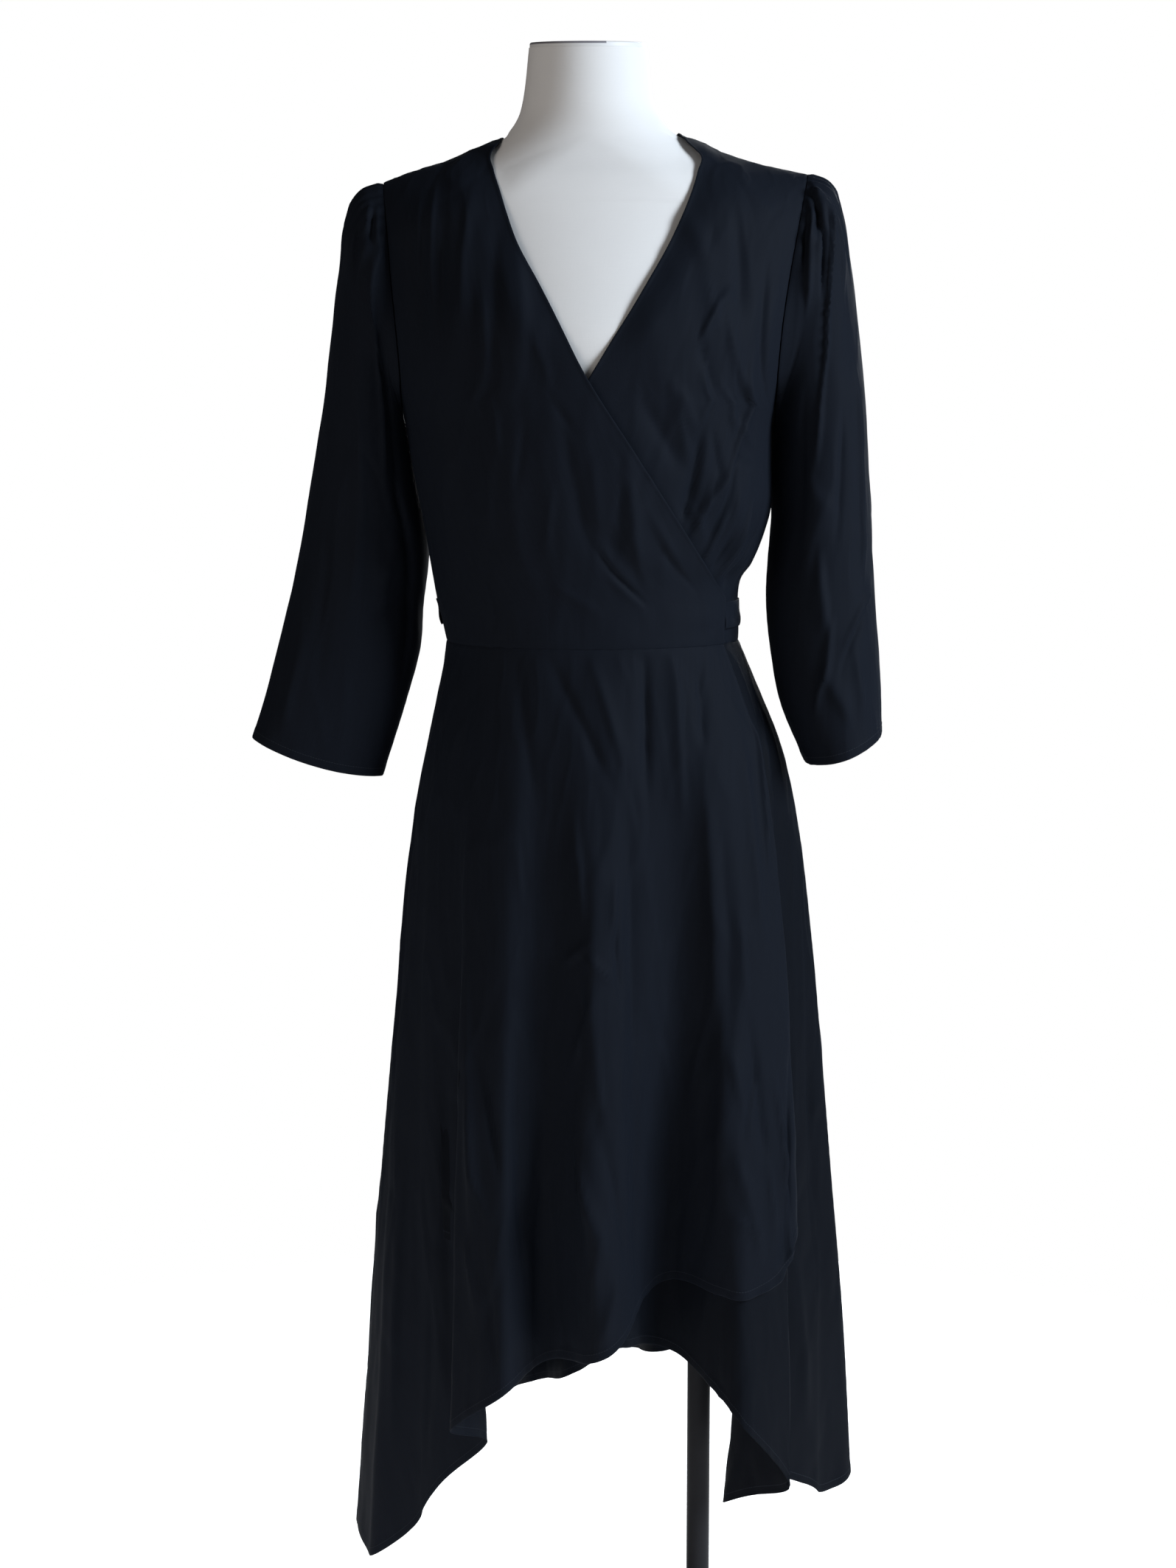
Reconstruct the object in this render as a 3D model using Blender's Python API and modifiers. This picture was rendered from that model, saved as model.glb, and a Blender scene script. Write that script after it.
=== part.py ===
"""Wrap dress on a limbless dress form with a round stand.

Metres, +Z up, the front faces -Y. The origin is on the floor, on the axis of
the neck. Lengths in the tables are metres and angles are degrees, where 0 is
the centre front and angles grow towards +X, the wearer's left.
"""

import math
from collections import namedtuple

import bmesh
import bpy
import numpy as np
from mathutils import Matrix

# ---------------------------------------------------------------- cloth
WALL = 0.0014  # thickness of the crepe
HALF_SEAM = 0.0002  # each piece ends this far from its seam line
WAIST_GAP = 0.00025  # the same at the waist, where the skirt turns outward
LAYER = 0.0034  # from the upper wrap layer down to the under one
WAIST_Z = 0.985
ARMPIT_Z = 1.1855
SIDE_ANGLE = 90.0
WRAP_ANGLE = 62.0  # free edge of either front, measured from the centre front

# ---------------------------------------------------------------- form
FORM_SIDES = 28
NECK_FOOT_Z = 1.42  # below this the shoulders shape the body, above it the neck
NECK_TOP_Z = 1.4885
NECK_BLEND_Z = 1.36  # above this the neck's root fills the chest's front and back
NECK_ROOT_Z = 1.424
NECK_ROOT_WIDTH = 0.067
NECK_SPREAD = 0.45  # how far the neck widens for each metre down into the chest
NECK_SHIFT = 0.0018  # the neck's foot leans this far to the wearer's left
NECK_SHIFT_Z = (1.450, 1.425)
NECK_SLOPE = 0.084  # the neck's top rises this much towards the back
NECK_SLOPE_Z = (1.455, 1.488)
NECK_FRONT_Y = -0.05
CAP_RADIUS = 0.0500
CAP_THICK = 0.005
CAP_ROUND = 0.0012
REST_GAP = 0.0003  # between touching solids
SHOULDER_CLEAR = 0.0019  # from the middle of the cloth down to the form's shoulder

# ---------------------------------------------------------------- stand
POLE_X = 0.102
POLE_RADIUS = 0.0105
POLE_ROUND = 0.0006
BASE_RADIUS = 0.190
BASE_THICK = 0.006
BASE_ROUND = 0.002
SOCKET_RADIUS = 0.017
SOCKET_HEIGHT = 0.045

# ---------------------------------------------------------------- grid sizes
LOW_LEVELS = (0.98525, 1.002, 1.0245, 1.046, 1.070, 1.098, 1.127, 1.156)  # bodice rows
HIGH_ROWS = 8  # bodice rows from the armpit up
TOP_EASE = 2.2
RIDGE_PASSES = 9  # tries at the height where a column meets the shoulder ridge
FRONT_COLUMNS = 15
BACK_SHOULDER_COLUMNS = 5
BACK_NECK_COLUMNS = (0.0, 0.05, 0.14, 0.29, 0.5, 0.71, 0.86, 0.95, 1.0)  # parts of the back neck
SLEEVE_COLUMNS = 26
SLEEVE_ROWS = 11
SKIRT_COLUMNS = 34
SIDE_COLUMNS = 6
BACK_SKIRT_COLUMNS = 32
SEAM_COLUMN = 0.6  # degrees from a side seam to the column next to it
SKIRT_ROWS = 11
SKIRT_EASE = 1.25  # rows are closer together at the waist
HEM_SPACING = 0.6  # how far the columns follow the folded hem's length
TIE_COLUMNS = 12
TAIL_ROWS = 9

# ---------------------------------------------------------------- ties
TIE_LOW_Z = 0.9985
TIE_HIGH_Z = 1.0215
TIE_CLEAR = 0.0022  # middle of the tie outside the middle of the bodice
KNOT_ANGLE = 180.0
KNOT_WIDTH = 0.034
KNOT_DEPTH = 0.020
KNOT_HEIGHT = 0.030
KNOT_ROUND = 0.006
KNOT_LIFT = 0.0023  # back of the knot outside the middle of the bodice
KNOT_HANG = 0.006  # the ends leave the knot this far off the cloth
KNOT_HANG_FROM = 0.55  # over this part of their length, counted from the low end
TIE_START = 0.35  # degrees past the right front's end
TIE_RAMP = (-6.0, 9.0)  # degrees round its start over which it steps off the bodice
TIE_STOP = 1.5  # degrees from the right side seam to the return tie
TAIL_WIDTH = 0.024
TAIL_REACH = 0.018  # folds this near a tail carry it
TAIL_SPAN = (150.0, 210.0)  # angles of the back skirt that the tails can touch

Tail = namedtuple("Tail", "name low_x low_z top_x")
TAILS = (
    Tail("tie_tail_long", -0.034, 0.690, -0.013),
    Tail("tie_tail_short", 0.036, 0.745, 0.014),
)

Section = namedtuple("Section", "z left right front back")

# Half widths and depths of the worn bodice. Above the armpit the widths run
# on past the armholes, so that the chest stays round up to the sleeve seam.
BODICE = (
    Section(0.985, 0.1245, 0.1325, 0.0980, 0.0880),
    Section(1.003, 0.1280, 0.1325, 0.0985, 0.0880),
    Section(1.021, 0.1318, 0.1318, 0.0990, 0.0885),
    Section(1.042, 0.1358, 0.1350, 0.1010, 0.0900),
    Section(1.055, 0.1382, 0.1440, 0.1030, 0.0920),
    Section(1.081, 0.1425, 0.1550, 0.1070, 0.0950),
    Section(1.100, 0.1460, 0.1600, 0.1100, 0.0970),
    Section(1.140, 0.1530, 0.1600, 0.1160, 0.1010),
    Section(1.184, 0.1600, 0.1610, 0.1200, 0.1040),
    Section(1.220, 0.1700, 0.1720, 0.1210, 0.1060),
    Section(1.260, 0.1790, 0.1830, 0.1180, 0.1070),
    Section(1.300, 0.1850, 0.1920, 0.1020, 0.1050),
    Section(1.340, 0.1900, 0.1990, 0.0870, 0.0990),
    Section(1.380, 0.1950, 0.2060, 0.0720, 0.0900),
    Section(1.430, 0.2000, 0.2100, 0.0600, 0.0740),
)

# The skirt before its folds: side outlines and plain depths.
SKIRT = (
    Section(0.985, 0.1245, 0.1325, 0.0980, 0.0880),
    Section(0.964, 0.1272, 0.1415, 0.1010, 0.0930),
    Section(0.937, 0.1330, 0.1530, 0.1050, 0.1010),
    Section(0.898, 0.1412, 0.1690, 0.1100, 0.1120),
    Section(0.858, 0.1490, 0.1800, 0.1140, 0.1220),
    Section(0.815, 0.1560, 0.1880, 0.1170, 0.1280),
    Section(0.714, 0.1670, 0.2010, 0.1220, 0.1350),
    Section(0.612, 0.1770, 0.2110, 0.1270, 0.1410),
    Section(0.491, 0.1880, 0.2220, 0.1320, 0.1470),
    Section(0.351, 0.1980, 0.2350, 0.1370, 0.1530),
    Section(0.209, 0.2100, 0.2440, 0.1420, 0.1580),
    Section(0.130, 0.2160, 0.2490, 0.1450, 0.1610),
)

Fold = namedtuple("Fold", "name angle x y level start")

# Crests and valleys of the skirt: where each one's line lies at its level,
# and the height at which it starts to leave the plain skirt.
FRONT_FOLDS = (
    Fold("side seam, right", -90.0, -0.215, 0.004, 0.165, 0.90),
    Fold("right point", -83.0, -0.199, -0.044, 0.150, 0.90),
    Fold("right flute", -70.0, -0.148, -0.076, 0.200, 0.92),
    Fold("inner turn, right", -53.0, -0.090, -0.106, 0.281, 0.95),
    Fold("crest A, outer edge", -40.0, -0.117, -0.151, 0.314, 0.95),
    Fold("crest A", -28.0, -0.076, -0.176, 0.350, 0.96),
    Fold("valley A-B", -15.0, -0.036, -0.139, 0.371, 0.975),
    Fold("crest B", 1.0, 0.014, -0.186, 0.388, 0.98),
    Fold("valley B-C", 24.0, 0.067, -0.112, 0.372, 0.98),
    Fold("crest C", 45.0, 0.137, -0.180, 0.325, 0.96),
    Fold("crest D under the free edge", 61.0, 0.178, -0.150, 0.260, 0.95),
    Fold("inner turn, left", 70.0, 0.123, -0.082, 0.215, 0.93),
    Fold("left side panel", 82.0, 0.214, -0.006, 0.185, 0.90),
    Fold("side seam, left", 90.0, 0.246, 0.030, 0.200, 0.90),
)
BACK_FOLDS = (
    Fold("side seam, left", 90.0, 0.246, 0.030, 0.200, 0.90),
    Fold("left flute", 103.0, 0.230, 0.092, 0.205, 0.88),
    Fold("valley 1", 119.0, 0.152, 0.104, 0.228, 0.90),
    Fold("crest 1", 135.0, 0.136, 0.190, 0.240, 0.92),
    Fold("valley 2", 150.0, 0.068, 0.130, 0.256, 0.94),
    Fold("crest 2", 167.0, 0.034, 0.200, 0.256, 0.94),
    Fold("valley 3", 183.0, -0.014, 0.138, 0.246, 0.95),
    Fold("crest 3", 199.0, -0.056, 0.202, 0.236, 0.94),
    Fold("valley 4", 215.0, -0.096, 0.128, 0.226, 0.93),
    Fold("crest 4", 231.0, -0.142, 0.176, 0.208, 0.92),
    Fold("valley 5", 246.0, -0.156, 0.096, 0.192, 0.90),
    Fold("right flute", 259.0, -0.208, 0.064, 0.172, 0.88),
    Fold("side seam, right", 270.0, -0.215, 0.004, 0.165, 0.90),
)
FOLD_GROWTH = 1.15  # how a fold deepens on its way down

Hem = namedtuple("Hem", "angle z")

RIGHT_FRONT_HEM = (
    Hem(-90.0, 0.165), Hem(-83.0, 0.150), Hem(-70.0, 0.205), Hem(-61.0, 0.251),
    Hem(-53.0, 0.281), Hem(-40.0, 0.314), Hem(-28.0, 0.350), Hem(-15.0, 0.371),
    Hem(1.0, 0.389), Hem(12.0, 0.414), Hem(24.0, 0.434), Hem(36.0, 0.434),
    Hem(47.0, 0.434), Hem(54.0, 0.443), Hem(59.0, 0.458), Hem(62.0, 0.478),
)
LEFT_FRONT_HEM = (
    Hem(-62.0, 0.460), Hem(-30.0, 0.432), Hem(0.0, 0.404), Hem(12.0, 0.388),
    Hem(24.0, 0.372), Hem(35.0, 0.348), Hem(45.0, 0.322), Hem(53.0, 0.294),
    Hem(61.0, 0.262), Hem(65.0, 0.242), Hem(70.0, 0.217), Hem(73.0, 0.227),
    Hem(76.0, 0.224), Hem(79.0, 0.208), Hem(82.0, 0.195), Hem(86.0, 0.192),
    Hem(90.0, 0.200),
)
BACK_HEM = (
    Hem(90.0, 0.200), Hem(103.0, 0.225), Hem(119.0, 0.262), Hem(135.0, 0.284),
    Hem(150.0, 0.280), Hem(167.0, 0.258), Hem(183.0, 0.255), Hem(191.0, 0.237),
    Hem(199.0, 0.222), Hem(207.0, 0.228), Hem(215.0, 0.236), Hem(231.0, 0.205),
    Hem(259.0, 0.175), Hem(270.0, 0.165),
)

Edge = namedtuple("Edge", "x z")

SHOULDER = (  # the ridge of both shoulders, and its run up to the middle of the neck
    Edge(-0.185, 1.3765), Edge(-0.177, 1.3800), Edge(-0.156, 1.3880), Edge(-0.123, 1.3978),
    Edge(-0.106, 1.4053), Edge(-0.094, 1.4098), Edge(-0.081, 1.4152), Edge(-0.072, 1.4182),
    Edge(0.004, 1.4740), Edge(0.077, 1.4218), Edge(0.088, 1.4170), Edge(0.100, 1.4130),
    Edge(0.113, 1.4062), Edge(0.138, 1.3983), Edge(0.153, 1.3943), Edge(0.190, 1.3870),
    Edge(0.200, 1.3850),
)
SHOULDER_ROUND = 0.058  # height over which chest and back round off to the ridge

RIGHT_ARMHOLE = (Edge(-0.1608, 1.1855), Edge(-0.1612, 1.2200), Edge(-0.1640, 1.2600),
                 Edge(-0.1680, 1.3000), Edge(-0.1715, 1.3420), Edge(-0.1760, 1.3790))
LEFT_ARMHOLE = (Edge(0.1616, 1.1855), Edge(0.1625, 1.2200), Edge(0.1655, 1.2600),
                Edge(0.1715, 1.3000), Edge(0.1790, 1.3400), Edge(0.1890, 1.3870))
RIGHT_NECKLINE = (Edge(0.1180, 1.0270), Edge(0.0760, 1.0940), Edge(0.0380, 1.1530),
                  Edge(0.0000, 1.2120), Edge(-0.0390, 1.2890), Edge(-0.0590, 1.3252),
                  Edge(-0.0690, 1.3528), Edge(-0.0750, 1.3720), Edge(-0.0810, 1.3908),
                  Edge(-0.0830, 1.4026), Edge(-0.0812, 1.4056), Edge(-0.0780, 1.4092),
                  Edge(-0.0730, 1.4179))
LEFT_NECKLINE = (Edge(-0.1120, 1.0270), Edge(-0.0740, 1.0900), Edge(-0.0370, 1.1500),
                 Edge(0.0000, 1.2120), Edge(0.0470, 1.2890), Edge(0.0680, 1.3252),
                 Edge(0.0820, 1.3552), Edge(0.0895, 1.3748), Edge(0.0937, 1.3890),
                 Edge(0.0955, 1.4020), Edge(0.0912, 1.4060), Edge(0.0870, 1.4102),
                 Edge(0.0775, 1.4216))
BACK_NECK_RISE = -0.012  # from the shoulder points down to the centre back neck
NECK_SPLIT_Z = 1.205  # the fronts' rows draw together above this height, at the neckline
LAYER_FADE_START = 9.0  # the under front rises to the upper one's level from here
LAYER_FADE_END = 27.0  # to here, in degrees beyond the upper front's edge
RIDGE_MARGIN = 0.2  # the creases fade out over this part of a front's width, at its side

Ridge = namedtuple("Ridge", "x z top_x top_z width height")

RIGHT_FRONT_RIDGES = (
    Ridge(-0.064, 1.20, -0.062, 1.33, 0.012, 0.0020),
    Ridge(-0.110, 1.22, -0.112, 1.35, 0.011, 0.0022),
    Ridge(-0.140, 1.25, -0.138, 1.33, 0.010, -0.0025),
    Ridge(0.046, 1.045, 0.012, 1.085, 0.010, -0.0030),
    Ridge(0.040, 1.060, 0.026, 1.150, 0.013, 0.0024),
)
LEFT_FRONT_RIDGES = (
    Ridge(0.122, 1.045, 0.132, 1.125, 0.009, 0.0032),
    Ridge(0.102, 1.055, 0.116, 1.140, 0.008, 0.0034),
    Ridge(0.086, 1.075, 0.098, 1.150, 0.007, 0.0026),
    Ridge(0.094, 1.065, 0.107, 1.140, 0.006, -0.0026),
    Ridge(0.148, 1.180, 0.158, 1.290, 0.014, 0.0030),
)

Ring = namedtuple("Ring", "outer_x outer_z inner_x inner_z depth y inner_y")

# Sleeve sections: outer and inner point, half depth, and the Y of both points.
RIGHT_SLEEVE = (
    Ring(-0.1940, 1.3735, -0.1630, 1.1790, 0.0520, 0.002, 0.006),
    Ring(-0.2080, 1.3510, -0.1600, 1.1690, 0.0560, 0.004, 0.016),
    Ring(-0.2155, 1.3060, -0.1562, 1.1540, 0.0580, 0.008, 0.025),
    Ring(-0.2240, 1.2470, -0.1508, 1.1240, 0.0580, 0.012, 0.029),
    Ring(-0.2325, 1.1860, -0.1450, 1.0900, 0.0560, 0.018, 0.029),
    Ring(-0.2440, 1.1240, -0.1424, 1.0560, 0.0520, 0.024, 0.028),
    Ring(-0.2570, 1.0560, -0.1470, 1.0130, 0.0460, 0.022, 0.022),
    Ring(-0.2700, 1.0000, -0.1495, 0.9770, 0.0410, 0.016, 0.016),
    Ring(-0.2840, 0.9440, -0.1620, 0.9300, 0.0360, 0.008, 0.008),
    Ring(-0.2980, 0.8980, -0.1830, 0.8640, 0.0320, 0.000, 0.000),
)
LEFT_SLEEVE = (
    Ring(0.2070, 1.3800, 0.1642, 1.1790, 0.0520, 0.002, 0.006),
    Ring(0.2190, 1.3530, 0.1624, 1.1690, 0.0560, 0.004, 0.016),
    Ring(0.2290, 1.3060, 0.1615, 1.1540, 0.0580, 0.008, 0.021),
    Ring(0.2365, 1.2470, 0.1612, 1.1240, 0.0580, 0.012, 0.024),
    Ring(0.2430, 1.1860, 0.1630, 1.0900, 0.0590, 0.014, 0.020),
    Ring(0.2475, 1.1240, 0.1598, 1.0560, 0.0590, 0.014, 0.016),
    Ring(0.2515, 1.0560, 0.1585, 1.0130, 0.0570, 0.010, 0.010),
    Ring(0.2550, 1.0000, 0.1625, 0.9730, 0.0550, 0.004, 0.004),
    Ring(0.2585, 0.9440, 0.1720, 0.9260, 0.0520, -0.002, -0.002),
    Ring(0.2600, 0.9030, 0.1930, 0.8770, 0.0490, -0.006, -0.006),
)
CUFF_SAG = 0.005  # front and back of the cuff hang below its sides
GATHER_SPAN = 62.0  # the cap is gathered this far to either side of the shoulder
GATHER_COUNT = 6
GATHER_HEIGHT = 0.0032
GATHER_REACH = 0.075  # the gathers fade out this far from the seam
GATHER_CROWD = 22.0  # degrees that the columns are drawn towards the cap
ARMPIT_STEP = 0.0021  # the sleeve starts this far outside the bodice at the armpit
SHOULDER_STEP = 0.0006  # and at the shoulder
SLEEVE_EASE = 1.55  # rows are closer together at the cap

BodySection = namedtuple("BodySection", "z width front back")

FORM = (
    BodySection(0.700, 0.1300, 0.0870, 0.1080),
    BodySection(0.706, 0.1360, 0.0920, 0.1150),
    BodySection(0.722, 0.1400, 0.0960, 0.1200),
    BodySection(0.765, 0.1430, 0.0990, 0.1230),
    BodySection(0.820, 0.1400, 0.1000, 0.1180),
    BodySection(0.870, 0.1330, 0.0980, 0.1070),
    BodySection(0.920, 0.1240, 0.0930, 0.0930),
    BodySection(0.980, 0.1130, 0.0870, 0.0790),
    BodySection(1.030, 0.1170, 0.0880, 0.0780),
    BodySection(1.090, 0.1300, 0.0970, 0.0850),
    BodySection(1.150, 0.1430, 0.1070, 0.0930),
    BodySection(1.200, 0.1500, 0.1120, 0.0980),
    BodySection(1.250, 0.1560, 0.1130, 0.1000),
    BodySection(1.290, 0.1600, 0.0985, 0.0960),
    BodySection(1.320, 0.1625, 0.0875, 0.0900),
    BodySection(1.345, 0.1640, 0.0780, 0.0830),
    BodySection(1.380, 0.1660, 0.0670, 0.0740),
    BodySection(1.400, 0.1330, 0.0603, 0.0697),
    BodySection(1.410, 0.1150, 0.0575, 0.0674),
    BodySection(1.418, 0.1000, 0.0556, 0.0655),
    BodySection(1.424, 0.0690, 0.0544, 0.0638),
    BodySection(1.430, 0.0645, 0.0536, 0.0616),
    BodySection(1.437, 0.0602, 0.0530, 0.0597),
    BodySection(1.446, 0.0568, 0.0525, 0.0577),
    BodySection(1.460, 0.0542, 0.0518, 0.0550),
    BodySection(NECK_TOP_Z, 0.0507, 0.0500, 0.0512),
)
SHOULDER_LEVELS = (1.362, 1.372, 1.378, 1.384, 1.390, 1.397, 1.4055, 1.4120, 1.4155)


# ---------------------------------------------------------------- numbers
def smooth(knots, values, at):
    """Smooth curve through the values at the knots, flat past both ends."""
    knots = np.asarray(knots, float)
    values = np.asarray(values, float)
    slopes = np.gradient(values, knots)
    at = np.clip(np.asarray(at, float), knots[0], knots[-1])
    left = np.clip(np.searchsorted(knots, at, side="right") - 1, 0, len(knots) - 2)
    span = knots[left + 1] - knots[left]
    t = (at - knots[left]) / span
    return (
        values[left] * (1 + 2 * t) * (1 - t) ** 2
        + values[left + 1] * t * t * (3 - 2 * t)
        + slopes[left] * span * t * (1 - t) ** 2
        - slopes[left + 1] * span * t * t * (1 - t)
    )


def column(table, name):
    return [getattr(row, name) for row in table]


def read(table, key, name, at):
    """Smooth value of one column of a table, read by another."""
    rows = sorted(table, key=lambda row: getattr(row, key))
    return smooth(column(rows, key), column(rows, name), at)


def wave(table, name, at):
    """One column of a fold table, level at every crest and valley."""
    knots = np.array(column(table, "angle"))
    values = np.array(column(table, name))
    return wave_between(knots, values, at)


def wave_between(knots, values, at):
    left = np.clip(np.searchsorted(knots, at, side="right") - 1, 0, len(knots) - 2)
    t = np.clip((at - knots[left]) / (knots[left + 1] - knots[left]), 0.0, 1.0)
    ease = (1 - np.cos(np.pi * t)) / 2
    return values[left] + (values[left + 1] - values[left]) * ease


def ramp(at, start, end):
    t = np.clip((at - start) / (end - start), 0.0, 1.0)
    return t * t * (3 - 2 * t)


def lerp(start, end, t):
    return start + (end - start) * t


# ---------------------------------------------------------------- surfaces
def section_point(table, angle, z):
    """Point of the plain section at an angle and height."""
    turn = np.radians(angle)
    width = np.where(np.sin(turn) < 0, read(table, "z", "left", z), read(table, "z", "right", z))
    depth = np.where(np.cos(turn) > 0, read(table, "z", "front", z), read(table, "z", "back", z))
    return width * np.sin(turn), -depth * np.cos(turn)


def shoulder_height(x):
    return np.interp(x, column(SHOULDER, "x"), column(SHOULDER, "z"))


def shoulder_rounding(x, z):
    """1 on the chest, 0 on the shoulder ridge, on a quarter round between."""
    below = np.clip((shoulder_height(x) - z) / SHOULDER_ROUND, 0.0, 1.0)
    return np.sqrt(1 - (1 - below) ** 2)


def bodice_points(angle, z, seam=0.0):
    """Grid of points on the worn bodice; seam moves the panel off its seams in Y."""
    x, y = section_point(BODICE, angle, z)
    rounding = shoulder_rounding(x, z)
    y = y * rounding + seam * (2 - rounding)
    return np.stack([x, y, z * np.ones_like(x)], axis=-1)


def skirt_points(folds, angle, z):
    """Grid of points on the folded skirt."""
    x, y = section_point(SKIRT, angle, z)
    knots = np.array(column(folds, "angle"))
    at_x, at_y = section_point(SKIRT, knots, np.array(column(folds, "level")))
    push_x = wave_between(knots, np.array(column(folds, "x")) - at_x, angle)
    push_y = wave_between(knots, np.array(column(folds, "y")) - at_y, angle)
    start = wave(folds, "start", angle)
    level = wave(folds, "level", angle)
    grow = np.clip((start - z) / (start - level), 0.0, None) ** FOLD_GROWTH
    return np.stack([x + push_x * grow, y + push_y * grow, z * np.ones_like(x)], axis=-1)


def normals(points, closed=False):
    """Unit normals of a grid of points, away from the wearer."""
    if closed:
        ring = np.concatenate([points[:, -2:-1], points, points[:, 1:2]], axis=1)
        along = np.gradient(ring, axis=1)[:, 1:-1]
    else:
        along = np.gradient(points, axis=1)
    up = np.gradient(points, axis=0)
    cross = np.cross(along, up)
    return cross / np.linalg.norm(cross, axis=-1, keepdims=True)


def ridge_heights(points, ridges):
    """Height of the soft creases at each point, from their lines in X and Z."""
    height = np.zeros(points.shape[:2])
    for ridge in ridges:
        line_x = ridge.top_x - ridge.x
        line_z = ridge.top_z - ridge.z
        length = math.hypot(line_x, line_z)
        along = ((points[..., 0] - ridge.x) * line_x + (points[..., 2] - ridge.z) * line_z) / length
        across = ((points[..., 0] - ridge.x) * line_z - (points[..., 2] - ridge.z) * line_x) / length
        fade = ramp(along, -0.4 * length, 0.3 * length) * ramp(along, 1.4 * length, 0.7 * length)
        height += ridge.height * np.exp(-((across / ridge.width) ** 2)) * fade
    return height


# ---------------------------------------------------------------- making
def fresh_collections():
    """An empty scene, with one collection for the object and one for cutters."""
    for old in list(bpy.data.objects):
        bpy.data.objects.remove(old, do_unlink=True)
    made = []
    for name in ("wrap_dress", "cutters"):
        made.append(bpy.data.collections.new(name))
        bpy.context.scene.collection.children.link(made[-1])
    return made


def material(name, colour, roughness, metallic=0.0):
    made = bpy.data.materials.new(name)
    made.use_nodes = True
    shader = made.node_tree.nodes["Principled BSDF"]
    shader.inputs["Base Color"].default_value = (*colour, 1.0)
    shader.inputs["Roughness"].default_value = roughness
    shader.inputs["Metallic"].default_value = metallic
    return made


def add_object(name, shape, finish, sharp_deg=40.0):
    """Object from a bmesh, shaded smooth but for its sharp edges."""
    mesh = bpy.data.meshes.new(name)
    shape.to_mesh(mesh)
    shape.free()
    mesh.shade_smooth()
    mesh.set_sharp_from_angle(angle=math.radians(sharp_deg))
    mesh.materials.append(finish.copy())
    made = bpy.data.objects.new(name, mesh)
    PARTS.objects.link(made)
    return made


def grid_shape(points, closed=False):
    """Quad grid with one vertex at each point; closed joins the last column to the first."""
    rows, columns = points.shape[0] - 1, points.shape[1] - 1
    shape = bmesh.new()
    bmesh.ops.create_grid(shape, x_segments=columns, y_segments=rows, size=1.0)
    for vertex in shape.verts:
        across = round((vertex.co.x + 1) / 2 * columns)
        up = round((vertex.co.y + 1) / 2 * rows)
        vertex.co = points[up, across]
    if closed:
        bmesh.ops.remove_doubles(shape, verts=shape.verts, dist=1e-6)
    return shape


def cloth(name, points, closed=False):
    """A cloth panel: an open surface with its wall on both sides of it."""
    made = add_object(name, grid_shape(points, closed), CREPE)
    wall = made.modifiers.new("wall", "SOLIDIFY")
    wall.thickness = WALL
    wall.offset = 0.0
    wall.use_even_offset = True
    return made


PARTS, CUTTERS = fresh_collections()
CREPE = material("navy_crepe", (0.012, 0.014, 0.020), 0.72)
LINEN = material("form_linen", (0.80, 0.79, 0.76), 0.85)
CAP_FINISH = material("neck_cap_grey", (0.36, 0.35, 0.37), 0.45)
STEEL = material("stand_paint", (0.07, 0.07, 0.075), 0.4, 0.5)

# ---------------------------------------------------------------- bodice
def edge_x(table, z):
    """X of an edge line at a height."""
    return read(table, "z", "x", z)


def angle_of(x, z):
    """Angle at which the bodice's section has this X, in front."""
    width = np.where(x < 0, read(BODICE, "z", "left", z), read(BODICE, "z", "right", z))
    return np.degrees(np.arcsin(np.clip(x / width, -1.0, 1.0)))


def side_angle(side, z):
    """Angle of a panel's outer edge: the side seam, then the armhole above it."""
    armhole = LEFT_ARMHOLE if side > 0 else RIGHT_ARMHOLE
    at_armhole = angle_of(edge_x(armhole, z), z)
    return np.where(z <= ARMPIT_Z, side * SIDE_ANGLE, at_armhole)


def rise(start, end, rows, ease=1.0):
    """Row heights from start to end; ease above 1 draws them together at the end."""
    return start + (end - start) * (1 - (1 - np.linspace(0.0, 1.0, rows + 1)) ** ease)


def front_points(side, neckline, tip_z, columns):
    """Grid of one wrap front: rows from the waist to the shoulder, columns from
    the side seam to the front edge. side is -1 for the wearer's right."""
    corner_z = neckline[0].z
    outer = np.concatenate([LOW_LEVELS, rise(ARMPIT_Z, tip_z, HIGH_ROWS, TOP_EASE)])
    inner = np.concatenate([LOW_LEVELS[:2], rise(corner_z, NECK_SPLIT_Z, len(LOW_LEVELS) - 2)[:-1],
                            rise(NECK_SPLIT_Z, neckline[-1].z, HIGH_ROWS, TOP_EASE)])
    across = np.linspace(0.0, 1.0, columns + 1)
    z = lerp(outer[:, None], inner[:, None], across[None, :])
    outer_angle = side_angle(side, outer)
    inner_x = edge_x(neckline, np.maximum(inner, corner_z))
    inner_angle = angle_of(inner_x, inner)
    angle = lerp(outer_angle[:, None], inner_angle[:, None], across[None, :])
    # the top row follows the shoulder ridge, and the rows below it in part
    top = z[-1]
    for _ in range(RIDGE_PASSES):
        top = shoulder_height(section_point(BODICE, angle[-1], top)[0])
    lift = top - z[-1]
    up = np.linspace(0.0, 1.0, z.shape[0])[:, None]
    z = z + lift[None, :] * up ** 3
    return bodice_points(angle, z, -HALF_SEAM)


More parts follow.
